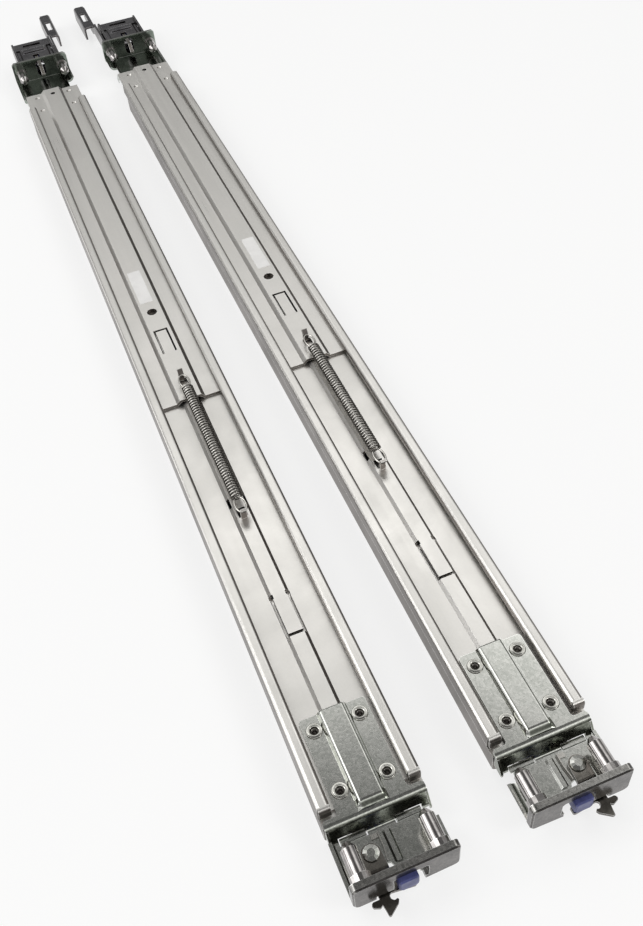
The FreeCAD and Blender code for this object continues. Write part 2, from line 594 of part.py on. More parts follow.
def rear_housing():
    """Open-topped box behind the rear flange; it holds the rear latch and stiffens the flange."""
    front = POST_DISTANCE + REAR_FLANGE_T
    half = HOUSING_HALF - HOUSING_T / 2
    low = FLOOR_TOP - BRACKET_T / 2
    tray = folded([(-half, HOUSING_TOP), (-half, low), (half, low), (half, HOUSING_TOP)],
                  HOUSING_T, 1.0, "XZ", front, HOUSING_REAR)
    trim = prism([(front - 1, 0), (HOUSING_REAR + 1, 0), (HOUSING_REAR + 1, 15.0), (HOUSING_REAR - 6, 21.5),
                  (front - 1, 21.5)], "YZ", -30, 30)
    tray = tray.common(trim)
    inner = HOUSING_HALF - HOUSING_T
    bar = folded([(HOUSING_REAR - 14, 18.2), (HOUSING_REAR - 2.0, 18.2), (HOUSING_REAR - 2.0, 11.0)],
                 1.2, 0.8, "YZ", -inner, inner)
    slot = block(-7, 7, HOUSING_REAR - 10.5, HOUSING_REAR - 7.0, 15, 20)
    floor_slot = block(-6, 6, HOUSING_REAR - 24, HOUSING_REAR - 18, 5, 10)
    pin = rod(REAR_PIVOT_R + RIVET_FIT, (-HOUSING_HALF, REAR_PIVOT_Y, REAR_PIVOT_Z),
              (HOUSING_HALF, REAR_PIVOT_Y, REAR_PIVOT_Z))
    return joined([tray, bar]).cut([slot, floor_slot, pin])


def rear_latch_pivot():
    """Cross pin through the housing's walls, its ends upset over square washers."""
    end = HOUSING_HALF + 0.8
    y, z = REAR_PIVOT_Y, REAR_PIVOT_Z
    half = REAR_PIVOT_R + 0.6
    heads = [block(x, x + 0.8, y - half, y + half, z - half, z + half) for x in (-end, HOUSING_HALF)]
    return joined([rod(REAR_PIVOT_R, (-end, y, z), (end, y, z))] + heads)


def rear_latch_hook():
    """Upright latch plate: its hook reaches through the flange's window, its tail carries the button."""
    y, z = REAR_PIVOT_Y, REAR_PIVOT_Z
    plate = prism([(POST_DISTANCE - 8.5, z - 1.2, 0.8), (POST_DISTANCE - 3.2, z + 4.6, 0.8),
                   (y - 8, z + 4.6, 1.0), (y, z + 3.6), (y + 13.5, z + 1.4, 0.8), (y + 13.5, z - 1.6, 0.8),
                   (y, z - 3.2), (y - 8, z - 1.0, 0.8), (POST_DISTANCE - 4.6, z - 0.6, 0.4),
                   (POST_DISTANCE - 4.6, z - 3.2, 0.4)], "YZ", -REAR_LATCH_HALF, REAR_LATCH_HALF)
    bore = rod(REAR_PIVOT_R + LATCH_FIT, (-10, y, z), (10, y, z))
    return plate.cut(bore)


def rear_latch_button():
    """Moulded push pad on the tail of the rear latch."""
    y, z = REAR_PIVOT_Y, REAR_PIVOT_Z
    pad = prism([(-6.5, y + 3.5, 1.5), (6.5, y + 3.5, 1.5), (6.5, y + 12.5, 1.5), (-6.5, y + 12.5, 1.5)],
                "XY", z - 0.8, z + 2.2)
    return pad.cut(rear_latch_hook())


def rear_latch_spring():
    """Bent leaf between the housing floor and the latch's tail."""
    y = REAR_PIVOT_Y
    path = [(y - 2.0, FLOOR_TOP + 0.2), (y + 4.0, FLOOR_TOP + 0.2), (y + 11.0, REAR_PIVOT_Z - 2.2)]
    return folded(path, 0.4, 1.0, "YZ", -2.5, 2.5)


def cable_arm_mount():
    """Socket for a cable-management arm, carried behind the rail on the inner side of the housing."""
    inside = HOUSING_HALF + 0.8 + 0.1
    link = prism([(POST_DISTANCE + 6, FLOOR_LOW + 0.2, 0.9), (ARM_MOUNT_REAR - 40, FLOOR_LOW + 0.2),
                  (ARM_MOUNT_REAR - 34, 3.2), (ARM_MOUNT_REAR, 3.2, 3.0), (ARM_MOUNT_REAR, 13.4, 3.0),
                  (ARM_MOUNT_REAR - 44, 13.4), (ARM_MOUNT_REAR - 50, 18.4, 2.0),
                  (POST_DISTANCE + 6, 18.4, 2.0)], "YZ", inside, inside + 1.5)
    outer = folded([(inside + 0.75, 12.65), (inside + 8.25, 12.65), (inside + 8.25, 3.4)], 1.5, 0.8,
                   "XZ", ARM_MOUNT_REAR - 42, ARM_MOUNT_REAR)
    window = block(inside + 2.6, inside + 6.4, ARM_MOUNT_REAR - 30, ARM_MOUNT_REAR - 14, 10, 15)
    y, z = REAR_PIVOT_Y, REAR_PIVOT_Z
    clear = REAR_PIVOT_R + 0.9
    pin_clear = block(5, 30, y - clear, y + clear, z - clear, z + clear)
    foot = block(HOUSING_HALF, inside + 0.2, POST_DISTANCE + 22, HOUSING_REAR - 8, 9.5, 14.0)
    return joined([link, outer, foot]).cut([window, pin_clear])


def label():
    """Plain adhesive label on the strip's raised middle."""
    return block(-4.4, 3.2, 354.5, 386.5, RIB_TOP, RIB_TOP + 0.12)


def extension_spring():
    """Close-wound tension spring with a loop at each end; the coils are drawn as one tube."""
    length = SPRING_REAR - SPRING_FRONT
    bore = SPRING_R - SPRING_WIRE
    tube = faceted([(SPRING_R, 0), (SPRING_R, length)], 16, (0, 0, 0)).cut(
        faceted([(bore, -1), (bore, length + 1)], 16, (0, 0, 0)))
    tube.Placement = FreeCAD.Placement(V(0, SPRING_FRONT, SPRING_Z), FreeCAD.Rotation(V(0, 0, 1), V(0, 1, 0)))
    return joined([tube, end_loop(SPRING_FRONT, -1, SPRING_TAB_FRONT),
                   end_loop(SPRING_REAR, 1, SPRING_TAB_REAR)])


def end_loop(coil_y, away, tab_y):
    """Wire from the last coil to a loop round its tab."""
    wire = SPRING_WIRE - 0.1
    side = SPRING_R - SPRING_WIRE / 2
    start = coil_y - away * 0.5
    far = tab_y + away * 2.1
    path = [(-side, start), (-side, far), (side, far), (side, start)]
    return folded(path, wire, 0.6, "XY", SPRING_Z - wire / 2, SPRING_Z + wire / 2)


# ---------------------------------------------------------------- ball slide
def raceway(ball_x, y0, y1):
    """The groove that a row of balls runs in, on both sides of the slide."""
    return [rod(RACE_R, (side * ball_x, y0 - 1, BALL_Z), (side * ball_x, y1 + 1, BALL_Z)) for side in (-1, 1)]


def middle_member():
    """Cold-rolled channel that runs on both rows of balls."""
    top = MIDDLE_TOP
    under = MIDDLE_TOP - MIDDLE_WEB_T
    low = 1.0
    corners = [(-MIDDLE_OUT, top), (MIDDLE_OUT, top), (MIDDLE_OUT, low), (MIDDLE_IN, low),
               (MIDDLE_IN, under), (-MIDDLE_IN, under), (-MIDDLE_IN, low), (-MIDDLE_OUT, low)]
    body = prism(corners, "XZ", MIDDLE_FRONT, MIDDLE_REAR)
    holes = [plain_hole(ACCESS_R, 0, y, 0, 10) for y in ACCESS_YS]
    return body.cut(raceway(OUTER_BALL_X, MIDDLE_FRONT, MIDDLE_REAR)
                    + raceway(INNER_BALL_X, MIDDLE_FRONT, MIDDLE_REAR) + holes)


def keyhole(y):
    """Opening that a shoulder stud on the server drops into and slides home along."""
    neck = block(-KEYHOLE_NECK / 2, KEYHOLE_NECK / 2, y, y + KEYHOLE_RUN, -1, 3)
    end = plain_hole(KEYHOLE_NECK / 2, 0, y + KEYHOLE_RUN, -1, 3)
    return [plain_hole(KEYHOLE_ENTRY_R, 0, y, -1, 3, 20), neck, end]


def inner_member():
    """The member that carries the server: flat against it, with keyholes for its shoulder studs."""
    top = BALL_Z + 1.3
    inside = INNER_OUT - INNER_T
    corners = [(-INNER_OUT, 0.0), (INNER_OUT, 0.0), (INNER_OUT, top), (inside, top),
               (inside, INNER_WEB_T), (-inside, INNER_WEB_T), (-inside, top), (-INNER_OUT, top)]
    body = prism(corners, "XZ", INNER_FRONT, INNER_REAR)
    cuts = raceway(INNER_BALL_X, INNER_FRONT, INNER_REAR)
    for y in KEYHOLE_YS:
        cuts += keyhole(y)
    cuts.append(block(-5.0, 5.0, LEVER_Y + 6, LEVER_Y + 34, -1, 3))
    return body.cut(cuts)


def release_lever():
    """Sliding lock release inside the inner member, with a thumb pad showing through its web."""
    half = INNER_OUT - INNER_T - 0.5
    low = INNER_WEB_T + 0.3
    high = BALL_Z + 1.1
    plate = prism([(-half, LEVER_Y, 0.9), (half, LEVER_Y, 0.9), (half, LEVER_Y + 46, 0.9),
                   (4.5, LEVER_Y + 52), (4.5, LEVER_Y + LEVER_LENGTH, 0.9),
                   (-4.5, LEVER_Y + LEVER_LENGTH, 0.9), (-4.5, LEVER_Y + 52), (-half, LEVER_Y + 46, 0.9)],
                  "XY", low, high)
    pad = prism([(-4.6, LEVER_Y + 13, 0.8), (4.6, LEVER_Y + 13, 0.8), (4.6, LEVER_Y + 31, 0.8),
                 (-4.6, LEVER_Y + 31, 0.8)], "XY", 0.3, low)
    return joined([plate, pad])


def ball_places(ball_x):
    run = (CAGE_REAR - CAGE_FRONT) / BALLS_PER_SIDE
    return [(side * ball_x, CAGE_FRONT + run * (i + 0.5)) for side in (-1, 1) for i in range(BALLS_PER_SIDE)]


def ball_cage(ball_x, web_low):
    """Thin U-shaped retainer with a window for each ball."""
    path = both_sides([(-ball_x, 1.9), (-ball_x, web_low + CAGE_T / 2)])
    cage = folded(path, CAGE_T, 0, "XZ", CAGE_FRONT, CAGE_REAR)
    holes = [block(x - 1, x + 1, y - RACE_R, y + RACE_R, BALL_Z - RACE_R, BALL_Z + RACE_R)
             for x, y in ball_places(ball_x)]
    return cage.cut(holes)


def ball(x, y):
    """One ball, turned with few flats; its corners lie on the true sphere."""
    chord = BALL_R * math.sqrt(0.5)
    profile = [(0, -BALL_R), (chord, -chord), (BALL_R, 0), (chord, chord), (0, BALL_R)]
    return faceted(profile, BALL_SIDES, (x, y, BALL_Z))


def balls(ball_x):
    return Part.Compound([ball(x, y) for x, y in ball_places(ball_x)])


def outer_ball_cage():
    return ball_cage(OUTER_BALL_X, MIDDLE_TOP + 0.3)


def outer_balls():
    return balls(OUTER_BALL_X)


def inner_ball_cage():
    return ball_cage(INNER_BALL_X, MIDDLE_TOP - MIDDLE_WEB_T - CAGE_GAP - CAGE_T)


def inner_balls():
    return balls(INNER_BALL_X)


# ---------------------------------------------------------------- the pair
PIECES = [guide_channel, slide_channel, front_bracket, front_flange, front_rivets, front_studs,
          front_latch_pivot, front_latch_spring, front_latch_hook, front_latch_button,
          extension_spring, rear_extension, rear_bracket, rear_housing, rear_studs,
          rear_latch_pivot, rear_latch_spring, rear_latch_hook, rear_latch_button, cable_arm_mount, label,
          middle_member, inner_member, release_lever,
          outer_ball_cage, outer_balls, inner_ball_cage, inner_balls]

Y_CENTRE = (ARM_MOUNT_REAR + HOOK_REACH) / 2

os.makedirs("parts", exist_ok=True)
for piece in PIECES:
    shape = piece()
    shape.translate(V(-RAIL_PITCH / 2, -Y_CENTRE, 0))
    shape.exportStep("parts/left_" + piece.__name__ + ".step")
    mirrored_x(shape).exportStep("parts/right_" + piece.__name__ + ".step")
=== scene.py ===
# %% [markdown]
# # A pair of sliding server rails
# Two steel rails that carry a server in a rack lie side by side, server face down. Every formed piece
# comes from the imported CAD model, which stands here as a fixed frame. What this file adds is what the
# solids only stand in for: wound springs, leaf springs cut into short lengths, turned rivets, polished balls,
# a few thin pressings and all the finishes.
# A metal object is judged by its reflections, so most of the work is in the metals and the light.

# %% Load the frame
import bpy
import bmesh
import json
import math
from mathutils import Matrix, Vector


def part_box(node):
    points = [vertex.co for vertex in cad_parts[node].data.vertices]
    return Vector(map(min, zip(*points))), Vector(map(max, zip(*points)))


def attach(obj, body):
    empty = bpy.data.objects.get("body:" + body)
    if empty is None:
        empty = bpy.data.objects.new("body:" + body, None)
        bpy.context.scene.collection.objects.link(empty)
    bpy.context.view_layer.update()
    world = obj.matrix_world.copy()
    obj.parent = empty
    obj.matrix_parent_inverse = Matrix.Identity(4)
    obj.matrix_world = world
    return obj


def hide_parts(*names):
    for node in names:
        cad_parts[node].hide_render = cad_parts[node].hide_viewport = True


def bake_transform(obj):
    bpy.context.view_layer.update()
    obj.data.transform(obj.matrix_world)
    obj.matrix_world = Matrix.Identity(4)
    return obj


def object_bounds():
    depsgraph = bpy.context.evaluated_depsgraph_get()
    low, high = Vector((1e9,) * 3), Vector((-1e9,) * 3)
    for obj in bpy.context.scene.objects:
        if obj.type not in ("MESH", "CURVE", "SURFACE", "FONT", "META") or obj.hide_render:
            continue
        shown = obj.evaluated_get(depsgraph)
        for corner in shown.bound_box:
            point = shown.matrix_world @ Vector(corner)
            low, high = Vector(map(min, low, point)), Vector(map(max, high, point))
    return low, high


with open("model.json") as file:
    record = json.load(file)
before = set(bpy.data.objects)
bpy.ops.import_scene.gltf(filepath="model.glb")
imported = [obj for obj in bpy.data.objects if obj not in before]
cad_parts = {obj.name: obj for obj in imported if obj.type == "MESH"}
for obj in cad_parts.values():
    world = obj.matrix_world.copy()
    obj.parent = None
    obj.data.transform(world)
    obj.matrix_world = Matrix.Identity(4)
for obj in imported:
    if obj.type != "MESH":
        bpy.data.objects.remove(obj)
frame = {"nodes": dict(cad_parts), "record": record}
cad_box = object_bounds()
SIDES = ("left", "right")
print("pieces in the frame:", len(frame["nodes"]))

# %% [markdown]
# ## Landmarks
# New pieces must sit where the solids say. Most places are read from the boxes of the nodes they belong
# to, so they follow if a size changes there. The rest are named sizes, and distances back from the front
# post face.

# %% Landmarks of each rail
MM = 0.001


def middle(node, axis):
    """The middle of a node's box along one axis."""
    low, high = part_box(node)
    return (low[axis] + high[axis]) / 2


rail_x = {side: middle(f"{side}_guide_channel", 0) for side in SIDES}
post_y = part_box("left_front_flange")[1][1]
spring_low, spring_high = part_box("left_extension_spring")
spring_z = (spring_low[2] + spring_high[2]) / 2
print("rail centrelines:", {side: round(x, 4) for side, x in rail_x.items()})
print("front post face:", round(post_y, 4))

# %% [markdown]
# ## The camera
# The rails are seen from above their front ends, turned so that they run away to the upper left.
# A camera is its place and three directions, so those are given rather than angles.

# %% The camera
camera_data = bpy.data.cameras.new("camera")
camera_data.lens = 39.353
camera_data.sensor_width = 36.0
camera_data.clip_end = 30.0
camera = bpy.data.objects.new("camera", camera_data)
bpy.context.scene.collection.objects.link(camera)
camera_right = Vector((0.92599, -0.37044, -0.07295)).normalized()
camera_back = Vector((-0.19540, -0.63553, 0.74694)).normalized()
camera_up = camera_back.cross(camera_right).normalized()
camera_right = camera_up.cross(camera_back).normalized()
camera.matrix_world = Matrix.Translation(Vector((-0.0878, -0.5040, 0.3894))) @ Matrix(
    (camera_right, camera_up, camera_back)).transposed().to_4x4()
bpy.context.scene.camera = camera
print("camera at", [round(v, 3) for v in camera.location])

# %% [markdown]
# ## Light and floor
# Bright zinc shows whatever is around it. Under a single even white it would look like grey paint, so
# the surroundings are bands, as in a studio with white walls and an unlit ceiling: dark straight
# overhead, bright where the walls meet the ceiling, grey below that, and pale down by the floor. The
# floor is pale and matt. A share of what the camera and the metals see of it is plain white, which keeps
# its shadow faint.

# %% World
world = bpy.data.worlds.new("studio")
world.use_nodes = True
bpy.context.scene.world = world
tree = world.node_tree
background = tree.nodes["Background"]
direction = tree.nodes.new("ShaderNodeTexCoord")
split = tree.nodes.new("ShaderNodeSeparateXYZ")
tree.links.new(direction.outputs["Generated"], split.inputs[0])
sky = tree.nodes.new("ShaderNodeValToRGB")
# Each band is (sine of its height above the horizon, brightness).
SKY_BANDS = ((0.0, 0.92), (0.06, 0.88), (0.2, 0.26), (0.36, 0.23), (0.5, 0.40), (0.62, 0.60), (0.73, 1.35),
             (0.855, 1.6), (0.888, 0.5), (0.93, 0.14))
stops = sky.color_ramp.elements
while len(stops) < len(SKY_BANDS):
    stops.new(0.5)
for stop, (place, level) in zip(stops, SKY_BANDS):
    stop.position = place
    stop.color = (level, level, level * 0.985, 1)
tree.links.new(split.outputs["Z"], sky.inputs[0])
tree.links.new(sky.outputs[0], background.inputs["Color"])
background.inputs["Strength"].default_value = 1.0
print("world:", len(SKY_BANDS), "bands from the horizon to overhead")


# %% Lamps
def area_light(name, place, target, width, depth, power):
    """A soft rectangular lamp at a place, turned to face its target."""
    data = bpy.data.lights.new(name, "AREA")
    data.shape = "RECTANGLE"
    data.size = width
    data.size_y = depth
    data.energy = power
    lamp = bpy.data.objects.new(name, data)
    bpy.context.scene.collection.objects.link(lamp)
    lamp.location = place
    lamp.rotation_euler = (Vector(target) - Vector(place)).to_track_quat("-Z", "Y").to_euler()
    return lamp


area_light("left_panel", (-1.2, 0.2, 1.0), (0, 0, 0), 0.7, 0.9, 5)
area_light("front_panel", (0.9, -1.1, 1.0), (0, -0.2, 0), 0.45, 0.45, 4)
area_light("low_strip", (-1.1, 0.1, 0.16), (0, 0.1, 0), 1.8, 0.22, 2)
print("two soft panels and a low strip")

# %% Floor
FLOOR_SIZE = 40
PLAIN_WHITE_SHARE = 0.72
bpy.ops.mesh.primitive_plane_add(size=FLOOR_SIZE, location=(0, 0, cad_box[0][2]))
floor = bpy.context.object
floor.name = "floor"
floor_paint = bpy.data.materials.new("floor_paint")
floor_paint.use_nodes = True
floor_shader = floor_paint.node_tree.nodes["Principled BSDF"]
floor_shader.inputs["Base Color"].default_value = (0.93, 0.93, 0.93, 1)
floor_shader.inputs["Roughness"].default_value = 0.9
floor_shader.inputs["Specular IOR Level"].default_value = 0.0
floor_nodes = floor_paint.node_tree.nodes
floor_links = floor_paint.node_tree.links
seen_by = floor_nodes.new("ShaderNodeLightPath")
seen = seen_by.outputs["Is Camera Ray"]
for ray in ("Is Glossy Ray", "Is Transmission Ray"):
    either = floor_nodes.new("ShaderNodeMath")
    either.operation = "MAXIMUM"
    floor_links.new(seen, either.inputs[0])
    floor_links.new(seen_by.outputs[ray], either.inputs[1])
    seen = either.outputs[0]
share = floor_nodes.new("ShaderNodeMath")
share.operation = "MULTIPLY"
share.inputs[1].default_value = PLAIN_WHITE_SHARE
floor_links.new(seen, share.inputs[0])
plain_white = floor_nodes.new("ShaderNodeEmission")
plain_white.inputs["Color"].default_value = (1, 1, 1, 1)
plain_white.inputs["Strength"].default_value = 1.0
floor_mix = floor_nodes.new("ShaderNodeMixShader")
floor_links.new(share.outputs[0], floor_mix.inputs[0])
floor_links.new(floor_shader.outputs[0], floor_mix.inputs[1])
floor_links.new(plain_white.outputs[0], floor_mix.inputs[2])
floor_links.new(floor_mix.outputs[0], floor_nodes["Material Output"].inputs["Surface"])
floor.data.materials.append(floor_paint)
print("floor at z =", round(cad_box[0][2], 4))

# %% [markdown]
# ## Shared finishes
# Four effects come back in several metals, so each is one node group. *Rolling grain* is the fine
# lengthwise streaking of cold-rolled strip. *Zinc bloom* is the cloudy, slightly coloured film of a
# plated part. The edge group finds convex edges by comparing the surface with a rounded copy of itself; the
# lighter colour put there is partly wear and partly painted highlight.
# *Flank* is painted shade: a darker tone on upright walls and on slopes that face right or front. It reads
# only the surface's own direction. It is a painted reflection of the dark surroundings that bare metal would
# mirror there.


# %% Node helpers
def node_group(name, inputs, outputs):
    """An empty shader group with named sockets, given as (name, default) inputs and (name, kind) outputs."""
    group = bpy.data.node_groups.new(name, "ShaderNodeTree")
    for label, default in inputs:
        socket = group.interface.new_socket(label, in_out="INPUT", socket_type="NodeSocketFloat")
        socket.default_value = default
    for label, kind in outputs:
        group.interface.new_socket(label, in_out="OUTPUT", socket_type=kind)
    return group, group.nodes.new("NodeGroupInput"), group.nodes.new("NodeGroupOutput")


def math_node(tree, operation, a, b):
    """A Math node; each of a and b is a socket or a number."""
    node = tree.nodes.new("ShaderNodeMath")
    node.operation = operation
    for index, value in enumerate((a, b)):
        if isinstance(value, (int, float)):
            node.inputs[index].default_value = value
        else:
            tree.links.new(value, node.inputs[index])
    return node.outputs[0]


def noise(tree, vector, scale, detail):
    node = tree.nodes.new("ShaderNodeTexNoise")
    tree.links.new(vector, node.inputs["Vector"])
    node.inputs["Scale"].default_value = scale
    node.inputs["Detail"].default_value = detail
    return node.outputs["Fac"]


def stretched(tree, scale):
    """Object coordinates stretched by a different factor along each axis."""
    coordinates = tree.nodes.new("ShaderNodeTexCoord")
    mapping = tree.nodes.new("ShaderNodeMapping")
    mapping.inputs["Scale"].default_value = scale
    tree.links.new(coordinates.outputs["Object"], mapping.inputs["Vector"])
    return mapping.outputs[0]


# %% Rolling grain
grain_group, grain_in, grain_out = node_group("rolling_grain", [("Strength", 1.0)],
                                              [("Grain", "NodeSocketFloat")])
fine = noise(grain_group, stretched(grain_group, (2600, 26, 2600)), 1.0, 2.0)
broad = noise(grain_group, stretched(grain_group, (420, 5, 420)), 1.0, 2.0)
mixed = math_node(grain_group, "ADD", math_node(grain_group, "MULTIPLY", fine, 0.6),
                  math_node(grain_group, "MULTIPLY", broad, 0.4))
centred = math_node(grain_group, "SUBTRACT", mixed, 0.5)
grain_group.links.new(math_node(grain_group, "MULTIPLY", centred, grain_in.outputs["Strength"]),
                      grain_out.inputs["Grain"])
print("grain: fine streaks about 0.4 mm wide and 40 mm long, over broad ones")

# %% Zinc bloom
bloom_group, bloom_in, bloom_out = node_group("zinc_bloom", [("Patch Size", 0.01)],
                                              [("Bloom", "NodeSocketFloat"), ("Speckle", "NodeSocketFloat")])
patch_scale = math_node(bloom_group, "DIVIDE", 1.0, bloom_in.outputs["Patch Size"])
object_place = bloom_group.nodes.new("ShaderNodeTexCoord").outputs["Object"]
clouds = bloom_group.nodes.new("ShaderNodeTexNoise")
clouds.inputs["Detail"].default_value = 5.0
clouds.inputs["Roughness"].default_value = 0.62
clouds.inputs["Distortion"].default_value = 0.6
bloom_group.links.new(object_place, clouds.inputs["Vector"])
bloom_group.links.new(patch_scale, clouds.inputs["Scale"])
bloom_group.links.new(clouds.outputs["Fac"], bloom_out.inputs["Bloom"])
speckle = bloom_group.nodes.new("ShaderNodeTexVoronoi")
speckle.inputs["Scale"].default_value = 1100.0
bloom_group.links.new(object_place, speckle.inputs["Vector"])
bloom_group.links.new(speckle.outputs["Color"], bloom_out.inputs["Speckle"])
print("bloom: patches of a chosen size over crystals of about a millimetre")

# %% Edge wear and painted highlight
EDGE_RADIUS = 0.4 * MM
edge_group, edge_in, edge_out = node_group("edge_wear_and_highlight", [("Radius", EDGE_RADIUS)],
                                           [("Edge", "NodeSocketFloat")])
rounded = edge_group.nodes.new("ShaderNodeBevel")
rounded.samples = 8
edge_group.links.new(edge_in.outputs["Radius"], rounded.inputs["Radius"])
flat = edge_group.nodes.new("ShaderNodeNewGeometry")
agreement = edge_group.nodes.new("ShaderNodeVectorMath")
agreement.operation = "DOT_PRODUCT"
edge_group.links.new(rounded.outputs[0], agreement.inputs[0])
edge_group.links.new(flat.outputs["Normal"], agreement.inputs[1])
edge_range = edge_group.nodes.new("ShaderNodeMapRange")
edge_range.inputs["From Min"].default_value = 0.995
edge_range.inputs["From Max"].default_value = 0.86
edge_group.links.new(agreement.outputs["Value"], edge_range.inputs["Value"])
edge_group.links.new(edge_range.outputs[0], edge_out.inputs["Edge"])
print("worn edge: corners within", round(EDGE_RADIUS / MM, 2), "mm")

# %% Flank: painted shade
# Painted shade: this mask is one on upright walls and on slopes that face right or front, where a darker tone
# is painted.
painted_shade_group, painted_shade_in, painted_shade_out = node_group("painted_flank_shade", [("Amount", 1.0)], [("Painted Shade", "NodeSocketFloat")])
facing = painted_shade_group.nodes.new("ShaderNodeSeparateXYZ")
painted_shade_group.links.new(painted_shade_group.nodes.new("ShaderNodeNewGeometry").outputs["Normal"], facing.inputs[0])


def smooth_range(tree, value, low, high):
    """Nought at low, one at high and an easy curve between; high may be the smaller of the two."""
    node = tree.nodes.new("ShaderNodeMapRange")
    node.interpolation_type = "SMOOTHSTEP"
    node.inputs["From Min"].default_value = low
    node.inputs["From Max"].default_value = high
    tree.links.new(value, node.inputs["Value"])
    return node.outputs[0]


NEARLY_SQUARE, WELL_TILTED = 0.2, 0.62
FRONT_WEIGHT = 0.8
levelness = math_node(painted_shade_group, "ABSOLUTE", facing.outputs["Z"], 0.0)
upright = smooth_range(painted_shade_group, levelness, WELL_TILTED, NEARLY_SQUARE)
rearward = math_node(painted_shade_group, "MULTIPLY", facing.outputs["Y"], FRONT_WEIGHT)
right_or_front = math_node(painted_shade_group, "SUBTRACT", facing.outputs["X"], rearward)
sloping = smooth_range(painted_shade_group, right_or_front, NEARLY_SQUARE, WELL_TILTED)
darkened = math_node(painted_shade_group, "MAXIMUM", upright, sloping)
painted_shade_group.links.new(math_node(painted_shade_group, "MULTIPLY", darkened, painted_shade_in.outputs["Amount"]),
                      painted_shade_out.inputs["Painted Shade"])
print("flank: upright walls, and slopes that face right or front")

# %% [markdown]
# ## Metals
# Nearly every steel piece here is plated, so one recipe serves: a full metal whose colour drifts with
# the bloom, whose roughness follows grain and bloom, and whose edges are a little brighter and smoother,
# partly as wear and partly as painted highlight. Where a wall tone is given, it is painted shade on walls and
# slopes.
# What differs between pieces is the tones and how strong each effect is. The polished balls take it too.


# %% The metal recipe
def use_group(tree, group, **values):
    """A group placed in a material, with its own values for the named inputs."""
    node = tree.nodes.new("ShaderNodeGroup")
    node.node_tree = group
    for label, value in values.items():
        node.inputs[label.replace("_", " ")].default_value = value
    return node


def colour_mix(tree, factor, a, b):
    """A colour between a and b, each a socket or an (r, g, b)."""
    node = tree.nodes.new("ShaderNodeMix")
    node.data_type = "RGBA"
    tree.links.new(factor, node.inputs["Factor"])
    for label, value in (("A", a), ("B", b)):
        socket = [s for s in node.inputs if s.name == label and s.type == "RGBA"][0]
        if isinstance(value, tuple):
            socket.default_value = (*value, 1)
        else:
            tree.links.new(value, socket)
    return [s for s in node.outputs if s.type == "RGBA"][0]


def remap(tree, value, low, high, to_low, to_high):
    """A value between low and high, moved to the range from to_low to to_high."""
    node = tree.nodes.new("ShaderNodeMapRange")
    node.inputs["From Min"].default_value = low
    node.inputs["From Max"].default_value = high
    node.inputs["To Min"].default_value = to_low
    node.inputs["To Max"].default_value = to_high
    tree.links.new(value, node.inputs["Value"])
    return node.outputs[0]


WALL_SHADE_AMOUNT = 0.9
RELIEF_DEPTH = 0.4 * MM


def plated_steel(name, light, dark, edge, roughness, patch, bump, grain=0.0, speckle=0.0, wall_shade=None):
    """Plated steel between two tones with its grain and speckle, lighter on edges as wear and painted
    highlight, and darker on walls and slopes as painted shade where a wall tone is given.
    """
    material = bpy.data.materials.new(name)
    material.use_nodes = True
    tree = material.node_tree
    shader = tree.nodes["Principled BSDF"]
    shader.inputs["Metallic"].default_value = 1.0
    bloom = use_group(tree, bloom_group, Patch_Size=patch)
    streaks = use_group(tree, grain_group, Strength=grain)
    wear_and_highlight = use_group(tree, edge_group, Radius=EDGE_RADIUS)
    tone = remap(tree, bloom.outputs["Bloom"], 0.3, 0.7, 0.0, 1.0)
    tone = math_node(tree, "ADD", tone, streaks.outputs["Grain"])
    uneven = math_node(tree, "SUBTRACT", bloom.outputs["Speckle"], 0.5)
    crystals = math_node(tree, "MULTIPLY", uneven, speckle)
    tone = math_node(tree, "ADD", tone, crystals)
    tone.node.use_clamp = True
    body = colour_mix(tree, tone, dark, light)
    # Painted shade: where a wall tone is given, walls and slopes that face right or front take it.
    if wall_shade is not None:
        painted_flank_shade = use_group(tree, painted_shade_group, Amount=WALL_SHADE_AMOUNT)
        wall_shade_tone = colour_mix(tree, tone, tuple(c * 0.6 for c in wall_shade), tuple(c * 1.35 for c in wall_shade))
        body = colour_mix(tree, painted_flank_shade.outputs["Painted Shade"], body, wall_shade_tone)
    # Painted highlight, partly wear: convex edges take the lighter edge colour.
    tree.links.new(colour_mix(tree, wear_and_highlight.outputs["Edge"], body, edge), shader.inputs["Base Color"])
    rough = math_node(tree, "ADD", math_node(tree, "MULTIPLY", streaks.outputs["Grain"], 0.25),
                      remap(tree, bloom.outputs["Bloom"], 0.3, 0.7, roughness * 1.2, roughness * 0.85))
    rough = math_node(tree, "SUBTRACT", rough, math_node(tree, "MULTIPLY", wear_and_highlight.outputs["Edge"], 0.08))
    tree.links.new(rough, shader.inputs["Roughness"])
    relief = math_node(tree, "ADD", math_node(tree, "MULTIPLY", streaks.outputs["Grain"], 0.5),
                       math_node(tree, "ADD", crystals, bloom.outputs["Bloom"]))
    dents = tree.nodes.new("ShaderNodeBump")
    dents.inputs["Strength"].default_value = bump
    dents.inputs["Distance"].default_value = RELIEF_DEPTH
    tree.links.new(relief, dents.inputs["Height"])
    tree.links.new(dents.outputs[0], shader.inputs["Normal"])
    return material


